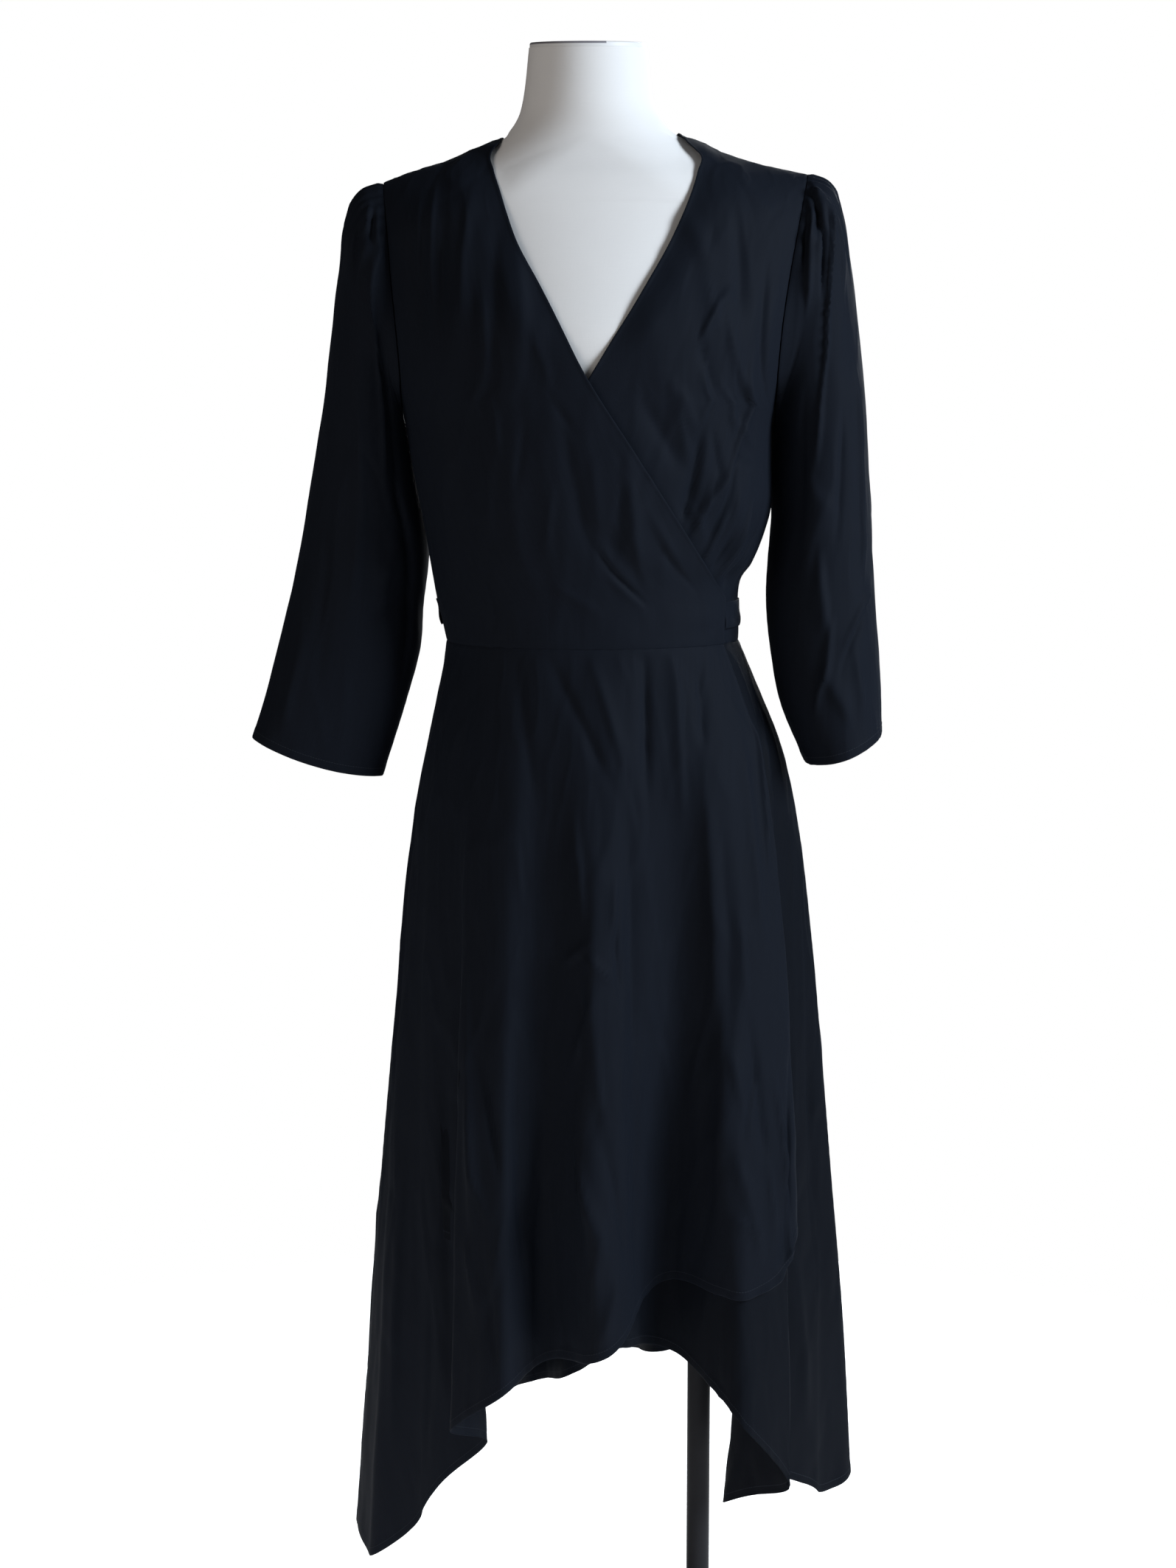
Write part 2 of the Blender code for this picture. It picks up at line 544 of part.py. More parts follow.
def back_points():
    """Grid of the back bodice: rows from the waist to the shoulders and neck,
    columns from the wearer's left side seam round to the right."""
    start, end = [neck_fraction(line[-1]) for line in (LEFT_NECKLINE, RIGHT_NECKLINE)]
    across = np.concatenate([np.linspace(0.0, start, BACK_SHOULDER_COLUMNS + 1)[:-1],
                             lerp(start, end, np.array(BACK_NECK_COLUMNS)),
                             np.linspace(end, 1.0, BACK_SHOULDER_COLUMNS + 1)[1:]])[None, :]
    low = np.array(LOW_LEVELS)[:, None]
    top = np.full_like(across, RIGHT_ARMHOLE[-1].z)
    for _ in range(RIDGE_PASSES):
        top = back_top_height(across_back(across, top))
    high = 1 - (1 - np.linspace(0.0, 1.0, HIGH_ROWS + 1)[:, None]) ** TOP_EASE
    z = np.concatenate([low * np.ones_like(across), lerp(ARMPIT_Z, top, high)])
    return bodice_points(back_angle(across, z), z, HALF_SEAM)


def back_angle(across, z):
    """Angle on the back, a fraction of the way from the left edge to the right."""
    left = 180.0 - side_angle(1, z)
    right = 180.0 - side_angle(-1, z)
    return lerp(left, right, across)


def neck_fraction(point):
    """Where a neck point lies across the back."""
    left, right = back_angle(np.array([0.0, 1.0]), point.z)
    return (180.0 - angle_of(point.x, point.z) - left) / (right - left)


def across_back(across, z):
    return section_point(BODICE, back_angle(across, z), z)[0]


def back_top_height(x):
    """Top edge of the back: shoulder seams, and the neckline up between them."""
    left, right = LEFT_NECKLINE[-1], RIGHT_NECKLINE[-1]
    middle = (left.x + right.x) / 2
    half = (left.x - right.x) / 2
    inside = np.clip(1 - ((x - middle) / half) ** 2, 0.0, 1.0)
    neck = lerp(right.z, left.z, (x - right.x) / (2 * half)) + BACK_NECK_RISE * inside
    return np.where(inside > 0, neck, shoulder_height(x))


def under_layer(points):
    """1 where the under front lies below the upper one, 0 well beyond its edge."""
    z = points[..., 2]
    edge = angle_of(edge_x(RIGHT_NECKLINE, np.maximum(z, RIGHT_NECKLINE[0].z)), z)
    beyond = angle_of(points[..., 0], z) - edge
    return 1 - ramp(beyond, LAYER_FADE_START, LAYER_FADE_END)


def make_bodice():
    right = front_points(-1, RIGHT_NECKLINE, RIGHT_ARMHOLE[-1].z, FRONT_COLUMNS)
    from_side = ramp(np.linspace(0.0, 1.0, FRONT_COLUMNS + 1), 0.0, RIDGE_MARGIN)
    lift = ridge_heights(right, RIGHT_FRONT_RIDGES) * from_side
    right = right + normals(right) * lift[..., None]
    left = front_points(1, LEFT_NECKLINE, LEFT_ARMHOLE[-1].z, FRONT_COLUMNS)[:, ::-1]
    sunk = under_layer(left)
    lift = ridge_heights(left, LEFT_FRONT_RIDGES) * from_side[::-1] * (1 - sunk) - LAYER * sunk
    left = left + normals(left) * lift[..., None]
    cloth("right_front_bodice", right)
    cloth("left_front_bodice", left)
    cloth("back_bodice", back_points())


# ---------------------------------------------------------------- sleeves
def armhole_point(side, turn):
    """Armhole seam line; turn is 0 at the shoulder, 90 in front, 180 at the armpit."""
    armhole = LEFT_ARMHOLE if side > 0 else RIGHT_ARMHOLE
    down = (1 - np.cos(np.radians(turn))) / 2
    z = lerp(armhole[-1].z, armhole[0].z, down)
    angle = side_angle(side, np.maximum(z, ARMPIT_Z + 1e-6))
    angle = np.where(np.sin(np.radians(turn)) < 0, 180.0 - angle, angle)
    points = bodice_points(angle, z)
    points[..., 0] += side * lerp(SHOULDER_STEP, ARMPIT_STEP, down)
    return points


def sleeve_points(side, rings, columns, rows):
    """Grid of a sleeve: rows from the cuff to the armhole, columns round the arm."""
    turn = gathered_turns(columns)
    radians = np.radians(turn)
    loops = [armhole_point(side, turn)]
    for ring in rings:
        middle_x = (ring.outer_x + ring.inner_x) / 2
        middle_z = (ring.outer_z + ring.inner_z) / 2
        x = middle_x + (ring.outer_x - middle_x) * np.cos(radians)
        z = middle_z + (ring.outer_z - middle_z) * np.cos(radians)
        y = lerp(ring.y, ring.inner_y, (1 - np.cos(radians)) / 2) - ring.depth * np.sin(radians)
        loops.append(np.stack([x, y, z], axis=-1))
    loops[-1][:, 2] -= CUFF_SAG * np.sin(radians) ** 2
    loops = np.array(loops)
    steps = np.linalg.norm(np.diff(loops, axis=0), axis=-1).mean(axis=1)
    length = np.concatenate([[0.0], np.cumsum(steps)])
    at = length[-1] * np.linspace(0.0, 1.0, rows + 1) ** SLEEVE_EASE
    grid = np.stack([
        np.stack([smooth(length, loops[:, k, axis], at) for axis in range(3)], axis=-1)
        for k in range(len(turn))
    ], axis=1)
    # gathers run from the seam over the cap
    wave_part = np.cos(turn / GATHER_SPAN * GATHER_COUNT * math.pi) - 1
    fold = wave_part * ramp(np.abs(turn), GATHER_SPAN, GATHER_SPAN * 0.8)
    fade = ramp(at, GATHER_REACH, GATHER_REACH * 0.3) * ramp(at, 0.0, GATHER_REACH * 0.12)
    height = GATHER_HEIGHT / 2 * fade[::-1, None] * fold[None, :]
    grid = grid[::-1]
    if side > 0:
        grid, height = grid[:, ::-1], height[:, ::-1]
    return grid + normals(grid, closed=True) * height[..., None]


def gathered_turns(columns):
    """Angles round the sleeve, closer together over the gathered cap."""
    even = np.linspace(-180.0, 180.0, columns + 1)
    return even - GATHER_CROWD * np.sin(np.radians(even))


def make_sleeves():
    cloth("right_sleeve", sleeve_points(-1, RIGHT_SLEEVE, SLEEVE_COLUMNS, SLEEVE_ROWS), closed=True)
    cloth("left_sleeve", sleeve_points(1, LEFT_SLEEVE, SLEEVE_COLUMNS, SLEEVE_ROWS), closed=True)


# ---------------------------------------------------------------- skirt
def hem_height(hem, angle):
    return smooth(column(hem, "angle"), column(hem, "z"), angle)


def folded_angles(folds, hem, first, last, columns):
    """Column angles between two edges, spaced by the length of the folded hem."""
    fine = np.linspace(first, last, 400)
    line = skirt_points(folds, fine, hem_height(hem, fine))
    hem_part = np.concatenate([[0.0], np.cumsum(np.linalg.norm(np.diff(line, axis=0), axis=-1))])
    spread = hem_part / hem_part[-1] * HEM_SPACING + (fine - first) / (last - first) * (1 - HEM_SPACING)
    return np.interp(np.linspace(0.0, 1.0, columns + 1), spread, fine)


def panel_points(folds, hem, angles, rows):
    """Grid of a skirt panel, rows from the hem to the waist."""
    low = hem_height(hem, angles)[None, :]
    up = np.linspace(0.0, 1.0, rows + 1)[:, None]
    z = lerp(low, WAIST_Z - WAIST_GAP, 1 - (1 - up) ** SKIRT_EASE)
    return skirt_points(folds, angles[None, :] * np.ones_like(z), z)


def make_skirt():
    front = folded_angles(FRONT_FOLDS, RIGHT_FRONT_HEM, -SIDE_ANGLE, WRAP_ANGLE, SKIRT_COLUMNS)
    front = np.insert(front, 1, front[0] + SEAM_COLUMN)
    beyond = folded_angles(FRONT_FOLDS, LEFT_FRONT_HEM, WRAP_ANGLE, SIDE_ANGLE, SIDE_COLUMNS)
    beyond = np.insert(beyond, -1, beyond[-1] - SEAM_COLUMN)
    upper = panel_points(FRONT_FOLDS, RIGHT_FRONT_HEM, front, SKIRT_ROWS)
    shared = front[front >= -WRAP_ANGLE]
    under_angles = np.concatenate([shared, beyond[1:]])
    under = panel_points(FRONT_FOLDS, LEFT_FRONT_HEM, under_angles, SKIRT_ROWS)
    sunk = LAYER * (1 - ramp(under_angles, WRAP_ANGLE + 2.0, SIDE_ANGLE - 2.0))
    under = under - normals(under) * sunk[None, :, None]
    upper[:, 0, 1] -= HALF_SEAM
    under[:, -1, 1] -= HALF_SEAM
    cloth("right_front_skirt", upper)
    cloth("left_front_skirt", under)
    back = folded_angles(BACK_FOLDS, BACK_HEM, SIDE_ANGLE, 360.0 - SIDE_ANGLE, BACK_SKIRT_COLUMNS)
    back = np.insert(back, (1, -1), (back[0] + SEAM_COLUMN, back[-1] - SEAM_COLUMN))
    rear = panel_points(BACK_FOLDS, BACK_HEM, back, SKIRT_ROWS)
    rear[:, (0, -1), 1] += HALF_SEAM
    cloth("back_skirt", rear)


# ---------------------------------------------------------------- ties
def tie_points(angles, lift):
    """Grid of a tie lying outside the bodice."""
    z = np.linspace(TIE_LOW_Z, TIE_HIGH_Z, 3)[:, None] * np.ones((1, len(angles)))
    points = bodice_points(angles[None, :] * np.ones_like(z), z)
    return points + normals(points) * lift[None, :, None]


def tail_points(tail, top_z):
    """Grid of a tie end hanging on the outside of the back skirt."""
    angles = np.linspace(*TAIL_SPAN, 121)
    points = np.zeros((TAIL_ROWS + 1, 3, 3))
    for i, up in enumerate(np.linspace(0.0, 1.0, TAIL_ROWS + 1)):
        middle = lerp(tail.low_x, tail.top_x, up)
        z = lerp(tail.low_z, top_z, up)
        near = skirt_points(BACK_FOLDS, angles, np.full_like(angles, min(z, WAIST_Z)))
        reach = np.abs(near[:, 0] - middle) < TAIL_REACH
        y = near[reach, 1].max() + TIE_CLEAR + KNOT_HANG * ramp(up, KNOT_HANG_FROM, 1.0)
        for j, across in enumerate((0.5, 0.0, -0.5)):
            points[i, j] = (middle + TAIL_WIDTH * across, y, z)
    return points


def knot_edge(side_name, z):
    """Half the angle that the knot covers on one side of the back."""
    width = read(BODICE, "z", side_name, z)
    return math.degrees(math.asin((KNOT_WIDTH / 2 + REST_GAP) / width))


def make_ties():
    knot_y = read(BODICE, "z", "back", WAIST_Z) + KNOT_LIFT + KNOT_DEPTH / 2
    knot_z = (TIE_LOW_Z + TIE_HIGH_Z) / 2
    start = angle_of(RIGHT_NECKLINE[0].x, knot_z) + TIE_START
    wrap = np.linspace(start, KNOT_ANGLE - knot_edge("right", knot_z), TIE_COLUMNS + 1)
    cloth("tie_wrap", tie_points(wrap, TIE_CLEAR * ramp(wrap, start + TIE_RAMP[0], start + TIE_RAMP[1])))
    stop = 360.0 - SIDE_ANGLE - TIE_STOP
    back = np.linspace(KNOT_ANGLE + knot_edge("left", knot_z), stop, TIE_COLUMNS + 1)
    cloth("tie_return", tie_points(back, np.full_like(back, TIE_CLEAR)))

    knot = bmesh.new()
    bmesh.ops.create_cube(knot, size=1.0)
    bmesh.ops.scale(knot, vec=(KNOT_WIDTH, KNOT_DEPTH, KNOT_HEIGHT), verts=knot.verts)
    bmesh.ops.bevel(knot, geom=knot.edges[:], offset=KNOT_ROUND, segments=3, profile=0.5, affect="EDGES")
    made = add_object("tie_knot", knot, CREPE)
    made.location = (0.0, knot_y, knot_z)

    tail_top = knot_z - KNOT_HEIGHT / 2 - REST_GAP - HALF_SEAM
    for tail in TAILS:
        cloth(tail.name, tail_points(tail, tail_top))


# ---------------------------------------------------------------- form and stand
def form_ring(z, turn):
    """Ring of the body at a height; the shoulders lie under the cloth's ridge."""
    width = read(FORM, "z", "width", z)
    depth = np.where(np.cos(turn) > 0, -read(FORM, "z", "front", z), read(FORM, "z", "back", z))
    shift = NECK_SHIFT * ramp(z, *NECK_SHIFT_Z)
    if z > NECK_FOOT_Z:
        x = width * np.sin(turn) + shift
        y = depth * np.abs(np.cos(turn))
    else:
        x = np.linspace(-width, width, 801)
        reach = x[shoulder_height(x) - SHOULDER_CLEAR >= z]
        x = np.where(np.sin(turn) < 0, -reach[0], reach[-1]) * np.sin(turn)
        across = np.sqrt(np.clip(1 - (x / width) ** 2, 0.0, 1.0))
        across = across * shoulder_rounding(x, np.full_like(x, z + SHOULDER_CLEAR))
        if z > NECK_BLEND_Z:
            root = NECK_ROOT_WIDTH + (NECK_ROOT_Z - z) * NECK_SPREAD
            across = np.maximum(across, np.sqrt(np.clip(1 - ((x - shift) / root) ** 2, 0.0, 1.0)))
        y = depth * across
    rise = (y - NECK_FRONT_Y) * NECK_SLOPE * ramp(z, *NECK_SLOPE_Z)
    return np.stack([x, y, z + rise], axis=-1)


def make_form():
    turn = np.linspace(-math.pi, math.pi, FORM_SIDES + 1)
    heights = sorted(column(FORM, "z") + list(SHOULDER_LEVELS))
    shape = grid_shape(np.array([form_ring(z, turn) for z in heights]), closed=True)
    rims = [edge for edge in shape.edges if edge.is_boundary]
    bmesh.ops.holes_fill(shape, edges=rims, sides=FORM_SIDES)
    bmesh.ops.recalc_face_normals(shape, faces=shape.faces)
    add_object("form_body", shape, LINEN, sharp_deg=50.0)
    foot_z = NECK_TOP_Z + REST_GAP
    cap = disc("neck_cap", CAP_RADIUS, CAP_THICK, (0.0, 0.0, foot_z), CAP_FINISH, CAP_ROUND)
    hinge = Matrix.Translation((0.0, NECK_FRONT_Y, foot_z))
    cap.data.transform(hinge @ Matrix.Rotation(math.atan(NECK_SLOPE), 4, "X") @ hinge.inverted())


def disc(name, radius, height, foot, finish, bevel, sides=32):
    """Upright cylinder standing on a point, with a rounded top rim."""
    shape = bmesh.new()
    bmesh.ops.create_cone(shape, cap_ends=True, segments=sides, radius1=radius, radius2=radius,
                          depth=height)
    bmesh.ops.translate(shape, vec=(foot[0], foot[1], foot[2] + height / 2), verts=shape.verts)
    top = foot[2] + height
    rim = [e for e in shape.edges if all(abs(v.co.z - top) < 1e-6 for v in e.verts)]
    bmesh.ops.bevel(shape, geom=rim, offset=bevel, segments=2, profile=0.5, affect="EDGES")
    return add_object(name, shape, finish)


def make_stand():
    disc("stand_base", BASE_RADIUS, BASE_THICK, (0.0, 0.0, 0.0), STEEL, BASE_ROUND, sides=48)
    foot = BASE_THICK + REST_GAP
    top = FORM[0].z - REST_GAP
    disc("stand_pole", POLE_RADIUS, top - foot, (POLE_X, 0.0, foot), STEEL, POLE_ROUND, sides=20)
    socket = disc("stand_socket", SOCKET_RADIUS, SOCKET_HEIGHT, (POLE_X, 0.0, foot), STEEL,
                  BASE_ROUND, sides=20)
    bore = bmesh.new()
    bmesh.ops.create_cone(bore, cap_ends=True, segments=20, radius1=POLE_RADIUS + REST_GAP,
                          radius2=POLE_RADIUS + REST_GAP, depth=SOCKET_HEIGHT * 3)
    mesh = bpy.data.meshes.new("socket_bore")
    bore.to_mesh(mesh)
    bore.free()
    cutter = bpy.data.objects.new("socket_bore", mesh)
    cutter.location = (POLE_X, 0.0, foot)
    cutter.hide_render = True
    cutter.display_type = "WIRE"
    CUTTERS.objects.link(cutter)
    cut = socket.modifiers.new("bore", "BOOLEAN")
    cut.operation = "DIFFERENCE"
    cut.object = cutter


make_bodice()
make_sleeves()
make_skirt()
make_ties()
make_form()
make_stand()
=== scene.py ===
"""Looks of a near-black wrap dress worn by a limbless dress form on a stand.

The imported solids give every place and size. Each piece of cloth is made again
here as a finer sheet on the same form, with its creases, hems and sewing, and
the form and its stand get smooth surfaces and their own finishes.

Metres, +Z up, the front faces -Y and +X is the wearer's left. Angles are in
degrees from the centre front towards +X.
"""

import logging
import math
from contextlib import contextmanager
from dataclasses import dataclass
from enum import Enum
from typing import Any, Callable, Dict, Iterator, NamedTuple, Optional, Sequence, Tuple, Union

import bmesh
import bpy
import numpy as np
from mathutils import Matrix, Vector, noise


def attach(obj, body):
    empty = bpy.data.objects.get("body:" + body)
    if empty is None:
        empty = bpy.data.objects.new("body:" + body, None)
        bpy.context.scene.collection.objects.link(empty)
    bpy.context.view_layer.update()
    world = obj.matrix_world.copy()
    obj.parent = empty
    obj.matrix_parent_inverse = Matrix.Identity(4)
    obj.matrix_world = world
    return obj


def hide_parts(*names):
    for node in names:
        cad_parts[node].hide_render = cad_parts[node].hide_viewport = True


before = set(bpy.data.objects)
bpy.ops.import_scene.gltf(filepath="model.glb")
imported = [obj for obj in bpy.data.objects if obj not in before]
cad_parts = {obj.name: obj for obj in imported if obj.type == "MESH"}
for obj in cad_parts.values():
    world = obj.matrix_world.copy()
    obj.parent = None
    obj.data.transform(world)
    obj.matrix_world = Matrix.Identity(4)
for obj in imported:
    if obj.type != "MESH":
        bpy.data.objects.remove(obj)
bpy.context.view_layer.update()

Array = np.ndarray
Point = Tuple[float, float, float]
Colour = Tuple[float, float, float]
Profile = Sequence[Tuple[float, float]]

LOG = logging.getLogger("wrap_dress")
BODY = "root"

CLOTH_THICK = 0.0009
SEAM_GAP = -0.00016  # a sewn edge laps over its seam line by this much
LAYER = 0.0034  # from the upper wrap layer down to the under one
WAIST_Z = 0.985
ARMPIT_Z = 1.1855
SIDE_ANGLE = 90.0
WRAP_ANGLE = 62.0
EDGE_STEPS = (0.0005, 0.0011, 0.0019, 0.0030, 0.0046, 0.0066, 0.0084, 0.0098)


class Section(NamedTuple):
    """Half widths and depths of a level section."""

    z: float
    left: float
    right: float
    front: float
    back: float


class Fold(NamedTuple):
    """A crest or valley of the skirt: its angle, its place at a level and where it starts."""

    angle: float
    x: float
    y: float
    level: float
    start: float


class Hem(NamedTuple):
    """Height of the hem at an angle."""

    angle: float
    z: float


class Edge(NamedTuple):
    """A point of an edge line seen from the front."""

    x: float
    z: float


class Ring(NamedTuple):
    """A sleeve section by its outer and inner points, half depth and both points' Y."""

    outer_x: float
    outer_z: float
    inner_x: float
    inner_z: float
    depth: float
    y: float
    inner_y: float


class Ridge(NamedTuple):
    """A broad crease of a front, which the solid has too."""

    x: float
    z: float
    top_x: float
    top_z: float
    width: float
    height: float


class Crease(NamedTuple):
    """A soft ridge or, below zero, trough between two points seen from the front or back.

    lean widens one flank and narrows the other, and bow bends the line.
    """

    x: float
    z: float
    end_x: float
    end_z: float
    width: float
    height: float
    lean: float = 0.0
    bow: float = 0.0


class BodySection(NamedTuple):
    """Half width and depths of the form at a height."""

    z: float
    width: float
    front: float
    back: float


class Gather(NamedTuple):
    """One gather of a sleeve cap: its angle round the arm, length, spread in degrees and height."""

    turn: float
    reach: float
    spread: float
    height: float


class Roll(NamedTuple):
    """A raised or, below zero, sunk line along a sewn edge, some way off it."""

    off: float
    width: float
    height: float


class Side(Enum):
    """The four sides of a panel's grid."""

    FIRST = "first column"
    LAST = "last column"
    LOW = "lowest row"
    HIGH = "highest row"


class Sewing(Enum):
    """What is sewn along a side of a panel."""

    SEAM = "joined to the next panel"
    HEM = "turned up and stitched"
    BOUND = "faced, with a thin roll along the edge"
    TURNED = "folded double, with no stitches to see"


SEAM, HEM, BOUND, TURNED = Sewing


class Facing(Enum):
    """Which surface a crease is on, as seen by someone who looks along Y."""

    FRONT = -1
    BACK = 1


def table_of(kind: Any, *lines: Sequence[float]) -> Tuple[Any, ...]:
    """Rows of a table, whose lengths are given in millimetres.

    Args:
        kind: The row's type.
        lines: A value for each of its fields; angles and shares are taken as they are.

    Returns:
        The rows, with their lengths in metres.
    """
    given = {"angle", "turn", "spread", "lean"}
    return tuple(
        kind(*[float(value) if field in given else round(value / 1000, 6)
               for field, value in zip(kind._fields, line)])
        for line in lines
    )


def edges(*sewing: Optional[Sewing]) -> Dict[Side, Sewing]:
    """What is sewn along the first and last column and the lowest and highest row."""
    return {side: kind for side, kind in zip(Side, sewing) if kind}


# ------------------------------------------------------------ tables, in millimetres and degrees
BODICE = table_of(
    Section,
    (985, 124.5, 132.5, 98, 88),
    (1003, 128, 132.5, 98.5, 88),
    (1021, 131.8, 131.8, 99, 88.5),
    (1042, 135.8, 135, 101, 90),
    (1055, 138.2, 144, 103, 92),
    (1081, 142.5, 155, 107, 95),
    (1100, 146, 160, 110, 97),
    (1140, 153, 160, 116, 101),
    (1184, 160, 161, 120, 104),
    (1220, 170, 172, 121, 106),
    (1260, 179, 183, 118, 107),
    (1300, 185, 192, 102, 105),
    (1340, 190, 199, 87, 99),
    (1380, 195, 206, 72, 90),
    (1430, 200, 210, 60, 74),
)
SKIRT = table_of(
    Section,
    (985, 124.5, 132.5, 98, 88),
    (964, 127.2, 141.5, 101, 93),
    (937, 133, 153, 105, 101),
    (898, 141.2, 169, 110, 112),
    (858, 149, 180, 114, 122),
    (815, 156, 188, 117, 128),
    (714, 167, 201, 122, 135),
    (612, 177, 211, 127, 141),
    (491, 188, 222, 132, 147),
    (351, 198, 235, 137, 153),
    (209, 210, 244, 142, 158),
    (130, 216, 249, 145, 161),
)
FRONT_FOLDS = table_of(
    Fold,
    (-90, -215, 4, 165, 900),
    (-83, -199, -44, 150, 900),
    (-70, -148, -76, 200, 920),
    (-53, -90, -106, 281, 950),
    (-40, -117, -151, 314, 950),
    (-28, -76, -176, 350, 960),
    (-15, -36, -139, 371, 975),
    (1, 14, -186, 388, 980),
    (24, 67, -112, 372, 980),
    (45, 137, -180, 325, 960),
    (61, 178, -150, 260, 950),
    (70, 123, -82, 215, 930),
    (82, 214, -6, 185, 900),
    (90, 246, 30, 200, 900),
)
BACK_FOLDS = table_of(
    Fold,
    (90, 246, 30, 200, 900),
    (103, 230, 92, 205, 880),
    (119, 152, 104, 228, 900),
    (135, 136, 190, 240, 920),
    (150, 68, 130, 256, 940),
    (167, 34, 200, 256, 940),
    (183, -14, 138, 246, 950),
    (199, -56, 202, 236, 940),
    (215, -96, 128, 226, 930),
    (231, -142, 176, 208, 920),
    (246, -156, 96, 192, 900),
    (259, -208, 64, 172, 880),
    (270, -215, 4, 165, 900),
)
FOLD_GROWTH = 1.15
RIGHT_FRONT_HEM = table_of(
    Hem,
    (-90, 165), (-83, 150), (-70, 205), (-61, 251), (-53, 281), (-40, 314), (-28, 350), (-15, 371),
    (1, 389), (12, 414), (24, 434), (36, 434), (47, 434), (54, 443), (59, 458), (62, 478),
)
LEFT_FRONT_HEM = table_of(
    Hem,
    (-62, 460), (-30, 432), (0, 404), (12, 388), (24, 372), (35, 348), (45, 322), (53, 294), (61, 262),
    (65, 242), (70, 217), (73, 227), (76, 224), (79, 208), (82, 195), (86, 192), (90, 200),
)
BACK_HEM = table_of(
    Hem,
    (90, 200), (103, 225), (119, 262), (135, 284), (150, 280), (167, 258), (183, 255), (191, 237),
    (199, 222), (207, 228), (215, 236), (231, 205), (259, 175), (270, 165),
)
SHOULDER = table_of(
    Edge,
    (-185, 1376.5), (-177, 1380), (-156, 1388), (-123, 1397.8), (-106, 1405.3), (-94, 1409.8),
    (-81, 1415.2), (-72, 1418.2), (4, 1474), (77, 1421.8), (88, 1417), (100, 1413), (113, 1406.2),
    (138, 1398.3), (153, 1394.3), (190, 1387), (200, 1385),
)
SHOULDER_ROUND = 0.058
RIGHT_ARMHOLE = table_of(
    Edge,
    (-160.8, 1185.5), (-161.2, 1220), (-164, 1260), (-168, 1300), (-171.5, 1342), (-176, 1379),
)
LEFT_ARMHOLE = table_of(
    Edge,
    (161.6, 1185.5), (162.5, 1220), (165.5, 1260), (171.5, 1300), (179, 1340), (189, 1387),
)
RIGHT_NECKLINE = table_of(
    Edge,
    (118, 1027), (76, 1094), (38, 1153), (0, 1212), (-39, 1289), (-59, 1325.2), (-69, 1352.8),
    (-75, 1372), (-81, 1390.8), (-83, 1402.6), (-81.2, 1405.6), (-78, 1409.2), (-73, 1417.9),
)
LEFT_NECKLINE = table_of(
    Edge,
    (-112, 1027), (-74, 1090), (-37, 1150), (0, 1212), (47, 1289), (68, 1325.2), (82, 1355.2),
    (89.5, 1374.8), (93.7, 1389), (95.5, 1402), (91.2, 1406), (87, 1410.2), (77.5, 1421.6),
)
BACK_NECK_RISE = -0.012
NECK_SPLIT_Z = 1.205
LAYER_FADE = (9.0, 27.0)
RIDGE_MARGIN = 0.2
RIGHT_FRONT_RIDGES = table_of(
    Ridge,
    (-64, 1200, -62, 1330, 12, 2),
    (-110, 1220, -112, 1350, 11, 2.2),
    (-140, 1250, -138, 1330, 10, -2.5),
    (46, 1045, 12, 1085, 10, -3),
    (40, 1060, 26, 1150, 13, 2.4),
)
LEFT_FRONT_RIDGES = table_of(
    Ridge,
    (122, 1045, 132, 1125, 9, 3.2),
    (102, 1055, 116, 1140, 8, 3.4),
    (86, 1075, 98, 1150, 7, 2.6),
    (94, 1065, 107, 1140, 6, -2.6),
    (148, 1180, 158, 1290, 14, 3),
)
RIGHT_SLEEVE = table_of(
    Ring,
    (-194, 1373.5, -162.2, 1179, 52, 2, 6),
    (-208, 1351, -159.6, 1169, 56, 4, 16),
    (-215.5, 1306, -156.2, 1154, 58, 8, 25),
    (-224, 1247, -150.8, 1124, 58, 12, 29),
    (-232.5, 1186, -145, 1090, 56, 18, 29),
    (-244, 1124, -142.4, 1056, 52, 24, 28),
    (-257, 1056, -147, 1013, 46, 22, 22),
    (-270, 1000, -149.5, 977, 41, 16, 16),
    (-284, 944, -162, 930, 36, 8, 8),
    (-298, 898, -183, 864, 32, 0, 0),
)
LEFT_SLEEVE = table_of(
    Ring,
    (207, 1380, 162.8, 1179, 52, 2, 6),
    (219, 1353, 161.6, 1169, 56, 4, 16),
    (229, 1306, 161.5, 1154, 58, 8, 21),
    (236.5, 1247, 161.2, 1124, 58, 12, 24),
    (243, 1186, 163, 1090, 59, 14, 20),
    (247.5, 1124, 159.8, 1056, 59, 14, 16),
    (251.5, 1056, 158.5, 1013, 57, 10, 10),
    (255, 1000, 162.5, 973, 55, 4, 4),
    (258.5, 944, 172, 926, 52, -2, -2),
    (260, 903, 193, 877, 49, -6, -6),
)
CUFF_SAG = 0.005
FORM = table_of(
    BodySection,
    (700, 130, 87, 108),
    (706, 136, 92, 115),
    (722, 140, 96, 120),
    (765, 143, 99, 123),
    (820, 140, 100, 118),
    (870, 133, 98, 107),
    (920, 124, 93, 93),
    (980, 113, 87, 79),
    (1030, 117, 88, 78),
    (1090, 130, 97, 85),
    (1150, 143, 107, 93),
    (1200, 150, 112, 98),
    (1250, 156, 113, 100),
    (1290, 160, 98.5, 96),
    (1320, 162.5, 87.5, 90),
    (1345, 164, 78, 83),
    (1380, 166, 67, 74),
    (1400, 133, 60.3, 69.7),
    (1410, 115, 57.5, 67.4),
    (1418, 100, 55.6, 65.5),
    (1424, 69, 54.4, 63.8),
    (1430, 64.5, 53.6, 61.6),
    (1437, 60.2, 53, 59.7),
    (1446, 56.8, 52.5, 57.7),
    (1460, 54.2, 51.8, 55),
    (1488.5, 50.7, 50, 51.2),
)
